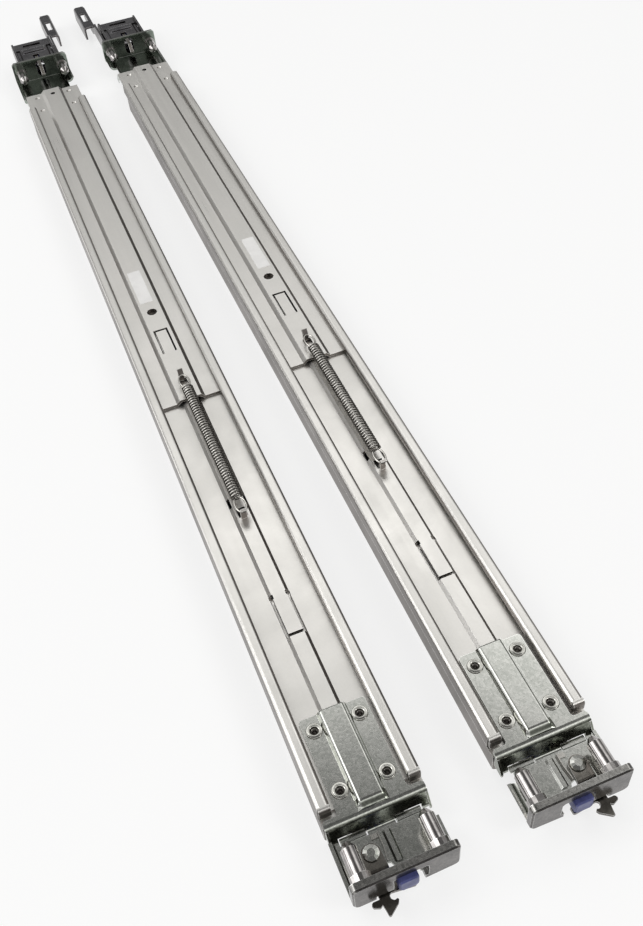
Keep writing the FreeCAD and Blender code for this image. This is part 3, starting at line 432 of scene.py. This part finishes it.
# %% Plated finishes
finishes = {
    "zinc_sheet": plated_steel("zinc_sheet", (0.83, 0.81, 0.78), (0.74, 0.725, 0.695), (0.90, 0.89, 0.87),
                               0.34, grain=0.8, patch=0.06, speckle=0.2, bump=0.05,
                               wall_shade=(0.11, 0.093, 0.083)),
    "zinc_plate": plated_steel("zinc_plate", (0.60, 0.60, 0.57), (0.44, 0.45, 0.42), (0.92, 0.92, 0.90),
                               0.17, grain=0.1, patch=0.05, speckle=1.2, bump=0.05,
                               wall_shade=(0.21, 0.225, 0.185)),
    "dark_zinc": plated_steel("dark_zinc", (0.20, 0.195, 0.205), (0.07, 0.068, 0.075), (0.55, 0.54, 0.54),
                              0.24, grain=0.2, patch=0.012, speckle=0.4, bump=0.06, wall_shade=(0.10, 0.09, 0.09)),
    "rolled_steel": plated_steel("rolled_steel", (0.62, 0.61, 0.59), (0.50, 0.49, 0.47), (0.72, 0.71, 0.70),
                                 0.3, grain=1.0, patch=0.05, speckle=0.2, bump=0.05),
    "stud_steel": plated_steel("stud_steel", (0.50, 0.48, 0.47), (0.28, 0.265, 0.26), (0.85, 0.84, 0.82),
                               0.13, patch=0.004, speckle=0.2, bump=0.03),
    "rivet_steel": plated_steel("rivet_steel", (0.72, 0.71, 0.67), (0.48, 0.48, 0.44), (0.86, 0.85, 0.82),
                                0.2, patch=0.003, speckle=0.2, bump=0.03, wall_shade=(0.30, 0.29, 0.27)),
    "latch_steel": plated_steel("latch_steel", (0.34, 0.32, 0.29), (0.15, 0.14, 0.125), (0.82, 0.81, 0.79),
                                0.22, patch=0.006, speckle=0.3, bump=0.04, wall_shade=(0.12, 0.11, 0.10)),
    "cage_steel": plated_steel("cage_steel", (0.62, 0.61, 0.59), (0.50, 0.49, 0.47), (0.72, 0.71, 0.70),
                               0.3, grain=0.5, patch=0.02, bump=0.03),
    "spring_steel": plated_steel("spring_steel", (0.74, 0.72, 0.68), (0.50, 0.48, 0.45), (0.74, 0.72, 0.68),
                                 0.2, patch=0.004, speckle=0.3, bump=0.02, wall_shade=(0.055, 0.05, 0.045)),
    "ball_steel": plated_steel("ball_steel", (0.82, 0.82, 0.82), (0.74, 0.74, 0.74), (0.85, 0.85, 0.85),
                               0.06, patch=0.004, bump=0.0),
}
# Painted shade: a near-black finish for sheets that stand where there is only shadow, in the rivet bores and
# under the gauge hole.
painted_shade_dark = plated_steel("painted_shade_dark", (0.10, 0.09, 0.08), (0.03, 0.027, 0.025), (0.3, 0.29, 0.27),
                            0.3, patch=0.002, speckle=0.2, bump=0.03)
print("plated finishes:", ", ".join(finishes))

# %% [markdown]
# ## Plastics and the label
# The touch points are moulded in blue-violet with a fine spark-eroded texture. The label is matt film,
# plain here, a little uneven where it was rubbed down.


# %% Moulded plastic and label film
PLASTIC_EDGE_RADIUS = 0.5 * MM
GRIT_DEPTH = 0.2 * MM


def matt_film(name, light, dark, roughness, scale, bump):
    """A coloured solid with a fine texture: light and dark are its two close tones."""
    material = bpy.data.materials.new(name)
    material.use_nodes = True
    tree = material.node_tree
    shader = tree.nodes["Principled BSDF"]
    place = tree.nodes.new("ShaderNodeTexCoord").outputs["Object"]
    mottle = noise(tree, place, scale / 12, 4.0)
    texture = noise(tree, place, scale, 3.0)
    wear_and_highlight = use_group(tree, edge_group, Radius=PLASTIC_EDGE_RADIUS)
    body = colour_mix(tree, remap(tree, mottle, 0.3, 0.7, 0, 1), dark, light)
    # Edges are lighter, partly as wear and partly as painted highlight.
    rubbed_and_highlit = tuple(min(1.0, c * 1.5 + 0.03) for c in light)
    edge_share = math_node(tree, "MULTIPLY", wear_and_highlight.outputs["Edge"], 0.35)
    tree.links.new(colour_mix(tree, edge_share, body, rubbed_and_highlit), shader.inputs["Base Color"])
    rough = remap(tree, mottle, 0.3, 0.7, roughness * 1.15, roughness * 0.85)
    tree.links.new(rough, shader.inputs["Roughness"])
    grit = tree.nodes.new("ShaderNodeBump")
    grit.inputs["Strength"].default_value = bump
    grit.inputs["Distance"].default_value = GRIT_DEPTH
    tree.links.new(texture, grit.inputs["Height"])
    tree.links.new(grit.outputs[0], shader.inputs["Normal"])
    return material


BLUE = ((0.075, 0.085, 0.24), (0.045, 0.052, 0.16))
finishes["button_plastic"] = matt_film("button_plastic", *BLUE, 0.36, 4200, 0.25)
finishes["lever_plastic"] = matt_film("lever_plastic", *BLUE, 0.42, 4200, 0.25)
finishes["label_film"] = matt_film("label_film", (0.86, 0.85, 0.84), (0.78, 0.77, 0.76), 0.55, 1500, 0.1)
print("finishes in all:", len(finishes))

# %% Give every solid its finish
# The front flange and the rear bracket take darker copies of the plated finish, the rear one greener on its
# walls: painted shade and painted reflection for the surroundings these faces mirror.
flange_zinc_painted_shade = plated_steel("flange_zinc_painted_shade", (0.46, 0.45, 0.43), (0.24, 0.235, 0.225), (0.90, 0.90, 0.88),
                           0.2, patch=0.012, speckle=1.0, bump=0.08, wall_shade=(0.088, 0.080, 0.077))
rear_zinc_painted_shade = plated_steel("rear_zinc_painted_shade", (0.42, 0.43, 0.40), (0.16, 0.175, 0.155), (0.90, 0.90, 0.88),
                         0.14, patch=0.02, speckle=0.5, bump=0.05, wall_shade=(0.25, 0.29, 0.25))
own_finish = {"front_flange": flange_zinc_painted_shade, "rear_bracket": rear_zinc_painted_shade,
              "front_latch_pivot": finishes["zinc_plate"]}
for entry in frame["record"]["subparts"]:
    node = frame["nodes"][entry["node"]]
    piece = entry["node"].split("_", 1)[1]
    node.data.materials.clear()
    node.data.materials.append(own_finish.get(piece, finishes[entry["material_slot"]]))

# %% [markdown]
# ## Geometry Nodes helpers
# What is wound or repeated is made by Geometry Nodes. Each tree has named inputs, set through the
# identifier of the socket before the object is first evaluated, and ends in Realize Instances and
# Set Material. The evaluated result is then kept as a plain mesh.


# %% Node tree helpers
def geometry_tree(name, inputs):
    """A Geometry Nodes tree with named inputs, each given as (name, socket type)."""
    tree = bpy.data.node_groups.new(name, "GeometryNodeTree")
    for label, kind in inputs:
        tree.interface.new_socket(label, in_out="INPUT", socket_type=kind)
    tree.interface.new_socket("Geometry", in_out="OUTPUT", socket_type="NodeSocketGeometry")
    return tree, tree.nodes.new("NodeGroupInput"), tree.nodes.new("NodeGroupOutput")


def finish_tree(tree, geometry, material, tree_in, tree_out):
    """Realises the instances, gives them the tree's material and closes the tree."""
    real = tree.nodes.new("GeometryNodeRealizeInstances")
    paint = tree.nodes.new("GeometryNodeSetMaterial")
    tree.links.new(geometry, real.inputs[0])
    tree.links.new(real.outputs[0], paint.inputs["Geometry"])
    tree.links.new(material, paint.inputs["Material"])
    tree.links.new(paint.outputs[0], tree_out.inputs["Geometry"])


def grow(name, tree, **values):
    """Runs a tree with these inputs and returns the result as a plain mesh object at the origin."""
    seed = bpy.data.objects.new(name, bpy.data.meshes.new(name))
    bpy.context.scene.collection.objects.link(seed)
    modifier = seed.modifiers.new("grow", "NODES")
    modifier.node_group = tree
    identifiers = {item.name: item.identifier for item in tree.interface.items_tree if item.in_out == "INPUT"}
    for label, value in values.items():
        modifier[identifiers[label.replace("_", " ")]] = value
    bpy.context.view_layer.update()
    evaluated = seed.evaluated_get(bpy.context.evaluated_depsgraph_get())
    mesh = bpy.data.meshes.new_from_object(evaluated)
    seed.modifiers.remove(modifier)
    seed.data = mesh
    for face in mesh.polygons:
        face.use_smooth = True
    return seed


print("helpers ready")

# %% [markdown]
# ## The tension springs
# Each rail's spring is close-wound wire with a ring at either end, hooked on a tab of the fixed channel
# and a tab of the moving strip. The solid is a plain tube with two loops, so the wire is wound here: a
# spiral of a little fewer turns than the real one, so that they can be told apart, swept with the wire's
# section, and a slender ring at each end. Both rings are a little short: the front one runs into its
# tab, and the rear one stops just before its tab.

# %% The spring's tree
WIRE_SIDES = 8
TURN_POINTS = 18
RING_POINTS = 40
RING_REACH = 0.94
spring_tree, spring_in, spring_out = geometry_tree("wound_spring", [
    ("Turns", "NodeSocketFloat"), ("Radius", "NodeSocketFloat"), ("Coil Length", "NodeSocketFloat"),
    ("Wire Radius", "NodeSocketFloat"), ("Ring Length", "NodeSocketFloat"), ("Centre", "NodeSocketVector"),
    ("Wire Finish", "NodeSocketMaterial")])


def placed(tree, geometry, translation=None, rotation=(0, 0, 0), scale=None):
    """Geometry moved, turned or scaled; translation and scale are sockets."""
    node = tree.nodes.new("GeometryNodeTransform")
    tree.links.new(geometry, node.inputs["Geometry"])
    node.inputs["Rotation"].default_value = rotation
    if translation is not None:
        tree.links.new(translation, node.inputs["Translation"])
    if scale is not None:
        tree.links.new(scale, node.inputs["Scale"])
    return node.outputs[0]


def vector_of(tree, x, y, z):
    """A vector socket from three parts, each a socket or a number."""
    node = tree.nodes.new("ShaderNodeCombineXYZ")
    for index, value in enumerate((x, y, z)):
        if isinstance(value, (int, float)):
            node.inputs[index].default_value = value
        else:
            tree.links.new(value, node.inputs[index])
    return node.outputs[0]


def swept_wire(tree, curve, radius):
    """A round wire along a curve."""
    section = tree.nodes.new("GeometryNodeCurvePrimitiveCircle")
    section.inputs["Resolution"].default_value = WIRE_SIDES
    tree.links.new(radius, section.inputs["Radius"])
    sweep = tree.nodes.new("GeometryNodeCurveToMesh")
    sweep.inputs["Fill Caps"].default_value = True
    tree.links.new(curve, sweep.inputs["Curve"])
    tree.links.new(section.outputs["Curve"], sweep.inputs["Profile Curve"])
    return sweep.outputs[0]


spiral = spring_tree.nodes.new("GeometryNodeCurveSpiral")
spiral.inputs["Resolution"].default_value = TURN_POINTS
for socket, label in (("Rotations", "Turns"), ("Start Radius", "Radius"), ("End Radius", "Radius"),
                      ("Height", "Coil Length")):
    spring_tree.links.new(spring_in.outputs[label], spiral.inputs[socket])
half_coil = math_node(spring_tree, "MULTIPLY", spring_in.outputs["Coil Length"], 0.5)
laid = placed(spring_tree, spiral.outputs[0], rotation=(-math.pi / 2, 0, 0))
coil_shift = math_node(spring_tree, "MULTIPLY", half_coil, -1.0)
coil = placed(spring_tree, laid, vector_of(spring_tree, 0.0, coil_shift, 0.0))
wires = spring_tree.nodes.new("GeometryNodeJoinGeometry")
spring_tree.links.new(swept_wire(spring_tree, coil, spring_in.outputs["Wire Radius"]), wires.inputs[0])
half_ring = math_node(spring_tree, "MULTIPLY", spring_in.outputs["Ring Length"], 0.5)
ring_reach = math_node(spring_tree, "MULTIPLY", half_ring, RING_REACH)
ring_offset = math_node(spring_tree, "ADD", half_coil, ring_reach)
for end in (-1.0, 1.0):
    circle = spring_tree.nodes.new("GeometryNodeCurvePrimitiveCircle")
    circle.inputs["Resolution"].default_value = RING_POINTS
    circle.inputs["Radius"].default_value = 1.0
    size = vector_of(spring_tree, spring_in.outputs["Radius"], half_ring, 1.0)
    ring = placed(spring_tree, circle.outputs["Curve"], scale=size)
    ring_shift = math_node(spring_tree, "MULTIPLY", ring_offset, end)
    moved = placed(spring_tree, ring, vector_of(spring_tree, 0.0, ring_shift, 0.0))
    spring_tree.links.new(swept_wire(spring_tree, moved, spring_in.outputs["Wire Radius"]), wires.inputs[0])
centred_spring = placed(spring_tree, wires.outputs[0], spring_in.outputs["Centre"])
finish_tree(spring_tree, centred_spring, spring_in.outputs["Wire Finish"], spring_in, spring_out)
print("spring tree:", len(spring_tree.nodes), "nodes")

# %% Wind both springs
WIRE = 1.0 * MM
COIL_TURNS = 46
outside_radius = (spring_high[2] - spring_low[2]) / 2
COIL_FRONT = 188 * MM
COIL_REAR = 273 * MM
coil_start = post_y + COIL_FRONT
coil_end = post_y + COIL_REAR
ring_length = coil_start - spring_low[1] - WIRE / 2
for side in SIDES:
    spring = grow(f"{side}_wound_spring", spring_tree, Turns=float(COIL_TURNS),
                  Radius=outside_radius - WIRE / 2, Coil_Length=coil_end - coil_start - WIRE,
                  Wire_Radius=WIRE / 2, Ring_Length=ring_length,
                  Centre=(rail_x[side], (coil_start + coil_end) / 2, spring_z),
                  Wire_Finish=finishes["spring_steel"])
    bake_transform(spring)
    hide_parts(f"{side}_extension_spring")
    print(spring.name, len(spring.data.polygons), "faces")

# %% [markdown]
# ## Tubular rivets
# Four tubular rivets clamp each front bracket to both channels. Their heads are rolled over into a
# smooth ring round a dark hollow, which a handful of flats can't show. One rivet is turned as a
# profile, and so is a thin dark lining of its hollow, which is painted shade for the shadow down the bore.
# Geometry Nodes sets both at the corners of a rectangle.


# %% One turned rivet
def turned_mesh(name, profile, segments=40):
    """A closed solid of revolution about Z from (radius, height) points."""
    solid = bmesh.new()
    edges = []
    points = [solid.verts.new((radius, 0, height)) for radius, height in profile]
    for first, second in zip(points, points[1:]):
        edges.append(solid.edges.new((first, second)))
    bmesh.ops.spin(solid, geom=points + edges, cent=(0, 0, 0), axis=(0, 0, 1), angle=2 * math.pi,
                   steps=segments, use_duplicate=False)
    bmesh.ops.remove_doubles(solid, verts=solid.verts, dist=1e-7)
    bmesh.ops.recalc_face_normals(solid, faces=solid.faces)
    mesh = bpy.data.meshes.new(name)
    solid.to_mesh(mesh)
    solid.free()
    return mesh


def arc_points(centre, radius, start, end, count):
    """Points on an arc in the (radius, height) plane, angles in degrees."""
    angles = [math.radians(start + (end - start) * i / (count - 1)) for i in range(count)]
    return [(centre[0] + radius * math.cos(a), centre[1] + radius * math.sin(a)) for a in angles]


rivet_low, rivet_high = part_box("left_front_rivets")
rivet_height = rivet_high[2] - rivet_low[2]
ROLL = 0.9 * MM
HEAD_T = 0.7 * MM
BORE = 1.45 * MM
SHANK_R = 2.28 * MM
FOOT_R = 3.2 * MM
FOOT_T = 0.6 * MM
head_seat = rivet_height - HEAD_T
rivet_hole = [(0.0, rivet_height - 3.2 * MM), (BORE * 0.8, rivet_height - 3.1 * MM),
              (BORE, rivet_height - 1.4 * MM)]
rolled_head = (arc_points((BORE + ROLL, head_seat), ROLL * 0.8, 180, 45, 7)
               + arc_points((BORE + 1.35 * MM, head_seat), HEAD_T, 60, -10, 5))
rivet_shank = [(SHANK_R, head_seat), (SHANK_R, FOOT_T), (FOOT_R - 0.05 * MM, FOOT_T), (FOOT_R, 0.1 * MM),
               (FOOT_R / 2, 0.0), (0.0, 0.0)]
rivet_profile = rivet_hole + rolled_head + rivet_shank
rivet_mesh = turned_mesh("turned_rivet", rivet_profile)
rivet_sample = bpy.data.objects.new("turned_rivet", rivet_mesh)
# The lining is painted shade: a dark cup down the bore, where the shadow falls.
SHADE_LINING_TOP = 0.75 * MM
shade_lining_profile = [(0.0, rivet_height - 3.0 * MM), (BORE * 0.78, rivet_height - 2.9 * MM),
                  (BORE * 0.97, rivet_height - 1.5 * MM), (BORE * 0.97, rivet_height - SHADE_LINING_TOP),
                  (BORE * 0.88, rivet_height - SHADE_LINING_TOP), (BORE * 0.7, rivet_height - 2.75 * MM),
                  (0.0, rivet_height - 2.8 * MM)]
shade_lining_sample = bpy.data.objects.new("rivet_hollow", turned_mesh("rivet_hollow", shade_lining_profile))
print("rivet:", len(rivet_mesh.polygons), "faces,", round(rivet_height / MM, 2), "mm tall")

# %% The tree that sets copies on a grid
grid_tree, grid_in, grid_out = geometry_tree("set_on_grid", [
    ("Piece", "NodeSocketObject"), ("Spacing X", "NodeSocketFloat"), ("Spacing Y", "NodeSocketFloat"),
    ("Columns", "NodeSocketInt"), ("Rows", "NodeSocketInt"), ("Centre", "NodeSocketVector"),
    ("Finish", "NodeSocketMaterial")])
grid = grid_tree.nodes.new("GeometryNodeMeshGrid")
for socket, spacing, count in (("Size X", "Spacing X", "Columns"), ("Size Y", "Spacing Y", "Rows")):
    steps = math_node(grid_tree, "SUBTRACT", grid_in.outputs[count], 1.0)
    extent = math_node(grid_tree, "MULTIPLY", grid_in.outputs[spacing], steps)
    grid_tree.links.new(extent, grid.inputs[socket])
grid_tree.links.new(grid_in.outputs["Columns"], grid.inputs["Vertices X"])
grid_tree.links.new(grid_in.outputs["Rows"], grid.inputs["Vertices Y"])
fetch = grid_tree.nodes.new("GeometryNodeObjectInfo")
fetch.inputs["As Instance"].default_value = True
grid_tree.links.new(grid_in.outputs["Piece"], fetch.inputs["Object"])
copies = grid_tree.nodes.new("GeometryNodeInstanceOnPoints")
grid_tree.links.new(grid.outputs["Mesh"], copies.inputs["Points"])
grid_tree.links.new(fetch.outputs["Geometry"], copies.inputs["Instance"])
grid_placed = placed(grid_tree, copies.outputs[0], grid_in.outputs["Centre"])
finish_tree(grid_tree, grid_placed, grid_in.outputs["Finish"], grid_in, grid_out)
print("grid tree:", len(grid_tree.nodes), "nodes")

# %% Set the rivets
RIVET_EDGE = 3.6 * MM
for side in SIDES:
    low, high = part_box(f"{side}_front_rivets")
    corners = {"Columns": 2, "Rows": 2, "Spacing_X": high[0] - low[0] - 2 * RIVET_EDGE,
               "Spacing_Y": high[1] - low[1] - 2 * RIVET_EDGE,
               "Centre": ((low[0] + high[0]) / 2, (low[1] + high[1]) / 2, low[2])}
    rivets = grow(f"{side}_turned_rivets", grid_tree, Piece=rivet_sample, Finish=finishes["rivet_steel"],
                  **corners)
    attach(rivets, "base")
    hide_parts(f"{side}_front_rivets")
    shade_linings = grow(f"{side}_rivet_hollows", grid_tree, Piece=shade_lining_sample, Finish=painted_shade_dark, **corners)
    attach(shade_linings, "base")
    print(rivets.name, len(rivets.data.polygons), "faces, hollows", len(shade_linings.data.polygons))

# %% [markdown]
# ## Leaf springs
# Each latch is held home by a leaf spring, staked at its root and pressed by the latch at its free end.
# A copy of each leaf's solid stands in: its loose triangles are merged and it is cut across into
# short lengths.


# %% Copy and cut the leaves
def bending_leaf(name, node, cuts):
    """A merged copy of a leaf spring's solid, cut across at the given distances along the rail."""
    leaf = bmesh.new()
    leaf.from_mesh(frame["nodes"][node].data)
    bmesh.ops.remove_doubles(leaf, verts=leaf.verts, dist=1e-6)
    for along in cuts:
        everything = leaf.verts[:] + leaf.edges[:] + leaf.faces[:]
        bmesh.ops.bisect_plane(leaf, geom=everything, plane_co=(0, along, 0), plane_no=(0, 1, 0))
    mesh = bpy.data.meshes.new(name)
    leaf.to_mesh(mesh)
    leaf.free()
    piece = bpy.data.objects.new(name, mesh)
    bpy.context.scene.collection.objects.link(piece)
    mesh.materials.append(finishes["spring_steel"])
    return piece


LEAF_CUTS = 9
# Root and tip of the stretch that bends, back from the front post face.
LEAVES = {"front": (15.5 * MM, 8.0 * MM), "rear": (695.0 * MM, 702.5 * MM)}
for side in SIDES:
    for end_name, (root, tip) in LEAVES.items():
        node = f"{side}_{end_name}_latch_spring"
        stations = [post_y + root + (tip - root) * i / (LEAF_CUTS - 1) for i in range(LEAF_CUTS)]
        leaf = bending_leaf(f"{side}_{end_name}_leaf", node, stations)
        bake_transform(leaf)
        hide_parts(node)

# %% [markdown]
# ## Window tabs and the gauge hole
# The two windows at the foot of each front bracket's step are lanced: the metal is cut round and stays
# as a tab, so only a thin outline is open. Under the round gauge hole in the moving strip lies a dark sheet
# of painted shade, for the shadow in the space under the strip. Both are small closed sheets with rounded
# rims, cut from one helper.


# %% Tabs and the painted shade sheet under the gauge hole
def rounded_sheet(name, outline, low, high, rim, finish):
    """A closed sheet over a plan outline, with its upper rim rounded."""
    solid = bmesh.new()
    face = solid.faces.new([solid.verts.new((x, y, low)) for x, y in outline])
    lifted = bmesh.ops.extrude_face_region(solid, geom=[face])
    top = [item for item in lifted["geom"] if isinstance(item, bmesh.types.BMVert)]
    bmesh.ops.translate(solid, verts=top, vec=(0, 0, high - low))
    upper = [edge for edge in solid.edges if all(abs(vert.co.z - high) < 1e-7 for vert in edge.verts)]
    bmesh.ops.bevel(solid, geom=upper, offset=rim, segments=3, affect="EDGES", profile=0.5)
    bmesh.ops.recalc_face_normals(solid, faces=solid.faces)
    mesh = bpy.data.meshes.new(name)
    solid.to_mesh(mesh)
    solid.free()
    sheet = bpy.data.objects.new(name, mesh)
    bpy.context.scene.collection.objects.link(sheet)
    mesh.materials.append(finish)
    return sheet


WINDOW_NEAR = 19.9 * MM
WINDOW_FAR = 22.5 * MM
WINDOW_INNER = 6.3 * MM
WINDOW_OUTER = 16.9 * MM
FLOOR_LEVEL = 8.4 * MM
TAB_T = 1.2 * MM
TAB_SINK = 0.2 * MM
TAB_RIM = 0.25 * MM
SHADE_OVER_FOOT = 1.7 * MM
SHADE_T = 0.25 * MM
SHADE_RIM = 0.1 * MM
GAUGE_FLATS = 32
GAUGE_Y = 345.0 * MM
GAUGE_R = 3.6 * MM
# On both rails, outer is the tab on the left and inner the one on the right.
for side in SIDES:
    for hand, place in ((-1, "outer"), (1, "inner")):
        edges = sorted((rail_x[side] + hand * WINDOW_INNER, rail_x[side] + hand * WINDOW_OUTER))
        corners = [(edges[0], post_y + WINDOW_NEAR), (edges[1], post_y + WINDOW_NEAR),
                   (edges[1], post_y + WINDOW_FAR), (edges[0], post_y + WINDOW_FAR)]
        tab = rounded_sheet(f"{side}_{place}_window_tab", corners, FLOOR_LEVEL - TAB_T - TAB_SINK,
                            FLOOR_LEVEL - TAB_SINK, TAB_RIM, finishes["zinc_plate"])
        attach(tab, "base")
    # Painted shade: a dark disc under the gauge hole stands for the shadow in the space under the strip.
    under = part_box(f"{side}_rear_extension")[0][2] + SHADE_OVER_FOOT
    turns = [flat_index * math.pi / (GAUGE_FLATS / 2) for flat_index in range(GAUGE_FLATS)]
    disc = [(rail_x[side] + GAUGE_R * math.cos(turn), post_y + GAUGE_Y + GAUGE_R * math.sin(turn))
            for turn in turns]
    shade_sheet = rounded_sheet(f"{side}_oiled_sheet", disc, under, under + SHADE_T, SHADE_RIM, painted_shade_dark)
    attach(shade_sheet, f"{side}_rear_end")
print("window tabs: 4, gauge holes: 2")

# %% [markdown]
# ## Rear latch covers
# A pressed cover closes the top of each rear housing, with a window for the latch and its pad. It is a
# sheet that follows a rule: flat, with a step down along both sides and a raised pad across the back. So
# it is drawn as a grid whose height is a formula, and the grid is given the sheet's thickness.

# %% Press the covers
COVER_T = 0.7 * MM
COVER_GAP = 0.3 * MM
PRESS_CELL = 0.6 * MM
WINDOW = (2.6 * MM, 17.0 * MM)
PAD_RISE = 0.9 * MM
SIDE_DROP = 1.1 * MM
DROP_START = 3.4 * MM
DROP_END = 2.4 * MM
PAD_INSET = 4.6 * MM
PRESS_RUN = 1.0 * MM
PAD_REAR = 2.0 * MM
PAD_FRONT = 9.0 * MM
HOUSING_WALL = 1.5 * MM
COVER_BACK = 14.0 * MM
COVER_OVER_PAD = 1.9 * MM
housing_low, housing_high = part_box("left_rear_housing")
cover_half = (housing_high[0] - housing_low[0]) / 2 - HOUSING_WALL - COVER_GAP
cover_front = housing_low[1] + COVER_GAP
cover_length = housing_high[1] - COVER_BACK - COVER_GAP - cover_front


def soft_step(value, start, end):
    """Nought at start, one at end and an easy curve between."""
    t = min(1.0, max(0.0, (value - start) / (end - start)))
    return t * t * (3 - 2 * t)


def cover_height(across, along):
    """Height of the cover: across from the middle, along from the flange."""
    drop = soft_step(abs(across), cover_half - DROP_START, cover_half - DROP_END)
    to_rear = cover_length - along
    pad = (soft_step(to_rear, PAD_REAR, PAD_REAR + PRESS_RUN)
           * soft_step(-to_rear, -PAD_FRONT, PRESS_RUN - PAD_FRONT)
           * soft_step(cover_half - PAD_INSET - abs(across), 0.0, PRESS_RUN))
    return PAD_RISE * pad - SIDE_DROP * drop


def in_window(across, along):
    """Whether a place on the cover lies in the window for the latch."""
    return abs(across) <= WINDOW[0] and along <= WINDOW[1]


def pressed_sheet(name, centre_x, front, half, length, level, height, open_at, gauge):
    """A sheet of the given gauge over a rectangle: height and open_at are functions of (across, along)."""
    sheet = bmesh.new()
    columns = round(2 * half / PRESS_CELL)
    rows = round(length / PRESS_CELL)
    points = []
    for row in range(rows + 1):
        along = length * row / rows
        line = []
        for column in range(columns + 1):
            across = -half + 2 * half * column / columns
            line.append(sheet.verts.new((centre_x + across, front + along, level + height(across, along))))
        points.append(line)
    for row in range(rows):
        for column in range(columns):
            across = -half + 2 * half * (column + 0.5) / columns
            if not open_at(across, length * (row + 0.5) / rows):
                sheet.faces.new((points[row][column], points[row][column + 1],
                                 points[row + 1][column + 1], points[row + 1][column]))
    bmesh.ops.delete(sheet, geom=[vert for vert in sheet.verts if not vert.link_faces], context="VERTS")
    bmesh.ops.recalc_face_normals(sheet, faces=sheet.faces)
    mesh = bpy.data.meshes.new(name)
    sheet.to_mesh(mesh)
    sheet.free()
    pressed = bpy.data.objects.new(name, mesh)
    bpy.context.scene.collection.objects.link(pressed)
    thickness = pressed.modifiers.new("thickness", "SOLIDIFY")
    thickness.thickness = gauge
    thickness.offset = -1.0
    for face in mesh.polygons:
        face.use_smooth = True
    return pressed


pad_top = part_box("left_rear_latch_button")[1][2]
for side in SIDES:
    cover = pressed_sheet(f"{side}_rear_latch_cover", rail_x[side], cover_front, cover_half, cover_length,
                          pad_top + COVER_OVER_PAD, cover_height, in_window, COVER_T)
    cover.data.materials.append(finishes["dark_zinc"])
    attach(cover, f"{side}_rear_end")
print("covers:", round(2 * cover_half / MM, 1), "by", round(cover_length / MM, 1), "mm")

# %% [markdown]
# ## Raised middles of the front brackets
# The plate of each front bracket is pressed up along its middle. The press leaves wide rounded shoulders,
# which catch a bright line on one side and go dark on the other. The solid has narrow flat slopes there,
# so a thin pressed skin with rounded shoulders lies over it, from the same sheet helper. It stands a
# little higher than the solid, and stays inside the box of the whole.

# %% Press the skins
CROWN_HALF = 4.7 * MM
FOOT_HALF = 6.5 * MM
CROWN_RISE = 2.15 * MM
NOSE_START = 26.6 * MM
NOSE_RUN = 3.0 * MM
SKIN_T = 0.25 * MM
SKIN_LIFT = 0.03 * MM
SKIN_END_GAP = 0.05 * MM
SOLID_RISE = 1.8 * MM
bracket_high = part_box("left_front_bracket")[1]
plate_top = bracket_high[2] - SOLID_RISE
skin_length = bracket_high[1] - post_y - NOSE_START - SKIN_END_GAP


def crown_height(across, along):
    """Height of the raised middle: across from its centreline, along from its nose."""
    nose = soft_step(along, 0.0, NOSE_RUN)
    return CROWN_RISE * nose * (1 - soft_step(abs(across), CROWN_HALF, FOOT_HALF))


def nowhere(across, along):
    """No window: the skin is whole."""
    return False


for side in SIDES:
    skin = pressed_sheet(f"{side}_bracket_crown", rail_x[side], post_y + NOSE_START, FOOT_HALF, skin_length,
                         plate_top + SKIN_LIFT, crown_height, nowhere, SKIN_T)
    skin.data.materials.append(finishes["zinc_plate"])
    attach(skin, "base")
print("crowns:", round(2 * FOOT_HALF / MM, 1), "by", round(skin_length / MM, 1), "mm")

# %% [markdown]
# ## Polished balls
# The balls of each row are seen between the members when a rail is pulled out. They are the same tree
# again, with a round ball in place of the few-sided one.

# %% Ball rows
BALL_RADIUS = 1.5 * MM
BALL_ROWS = 3
BALL_SEGMENTS = 20
# The solid's balls have flats, so across the rail their half width is less than the radius.
flats = BALL_RADIUS * math.cos(math.pi / 6)
half_outline = [(0.0, -BALL_RADIUS)] + arc_points((0, 0), BALL_RADIUS, -75, 75, 9) + [(0.0, BALL_RADIUS)]
ball_sample = bpy.data.objects.new("polished_ball", turned_mesh("polished_ball", half_outline, BALL_SEGMENTS))
for side in SIDES:
    for ring_name in ("outer", "inner"):
        low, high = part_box(f"{side}_{ring_name}_balls")
        width, depth = high[0] - low[0], high[1] - low[1]
        balls = grow(f"{side}_{ring_name}_polished_balls", grid_tree, Piece=ball_sample, Columns=2,
                     Rows=BALL_ROWS, Spacing_X=width - 2 * flats,
                     Spacing_Y=(depth - 2 * BALL_RADIUS) / (BALL_ROWS - 1),
                     Centre=((low[0] + high[0]) / 2, (low[1] + high[1]) / 2, (low[2] + high[2]) / 2),
                     Finish=finishes["ball_steel"])
        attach(balls, f"{side}_{ring_name}_cage")
        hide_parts(f"{side}_{ring_name}_balls")
print("balls per row:", BALL_ROWS)

# %% [markdown]
# ## Sizes
# The box of the frame is printed. The looks must stay inside the frame's own box.

# %% View settings, sizes and finish
bpy.context.scene.view_settings.view_transform = "Standard"
print("box of the frame:", [[round(v, 4) for v in c] for c in cad_box])
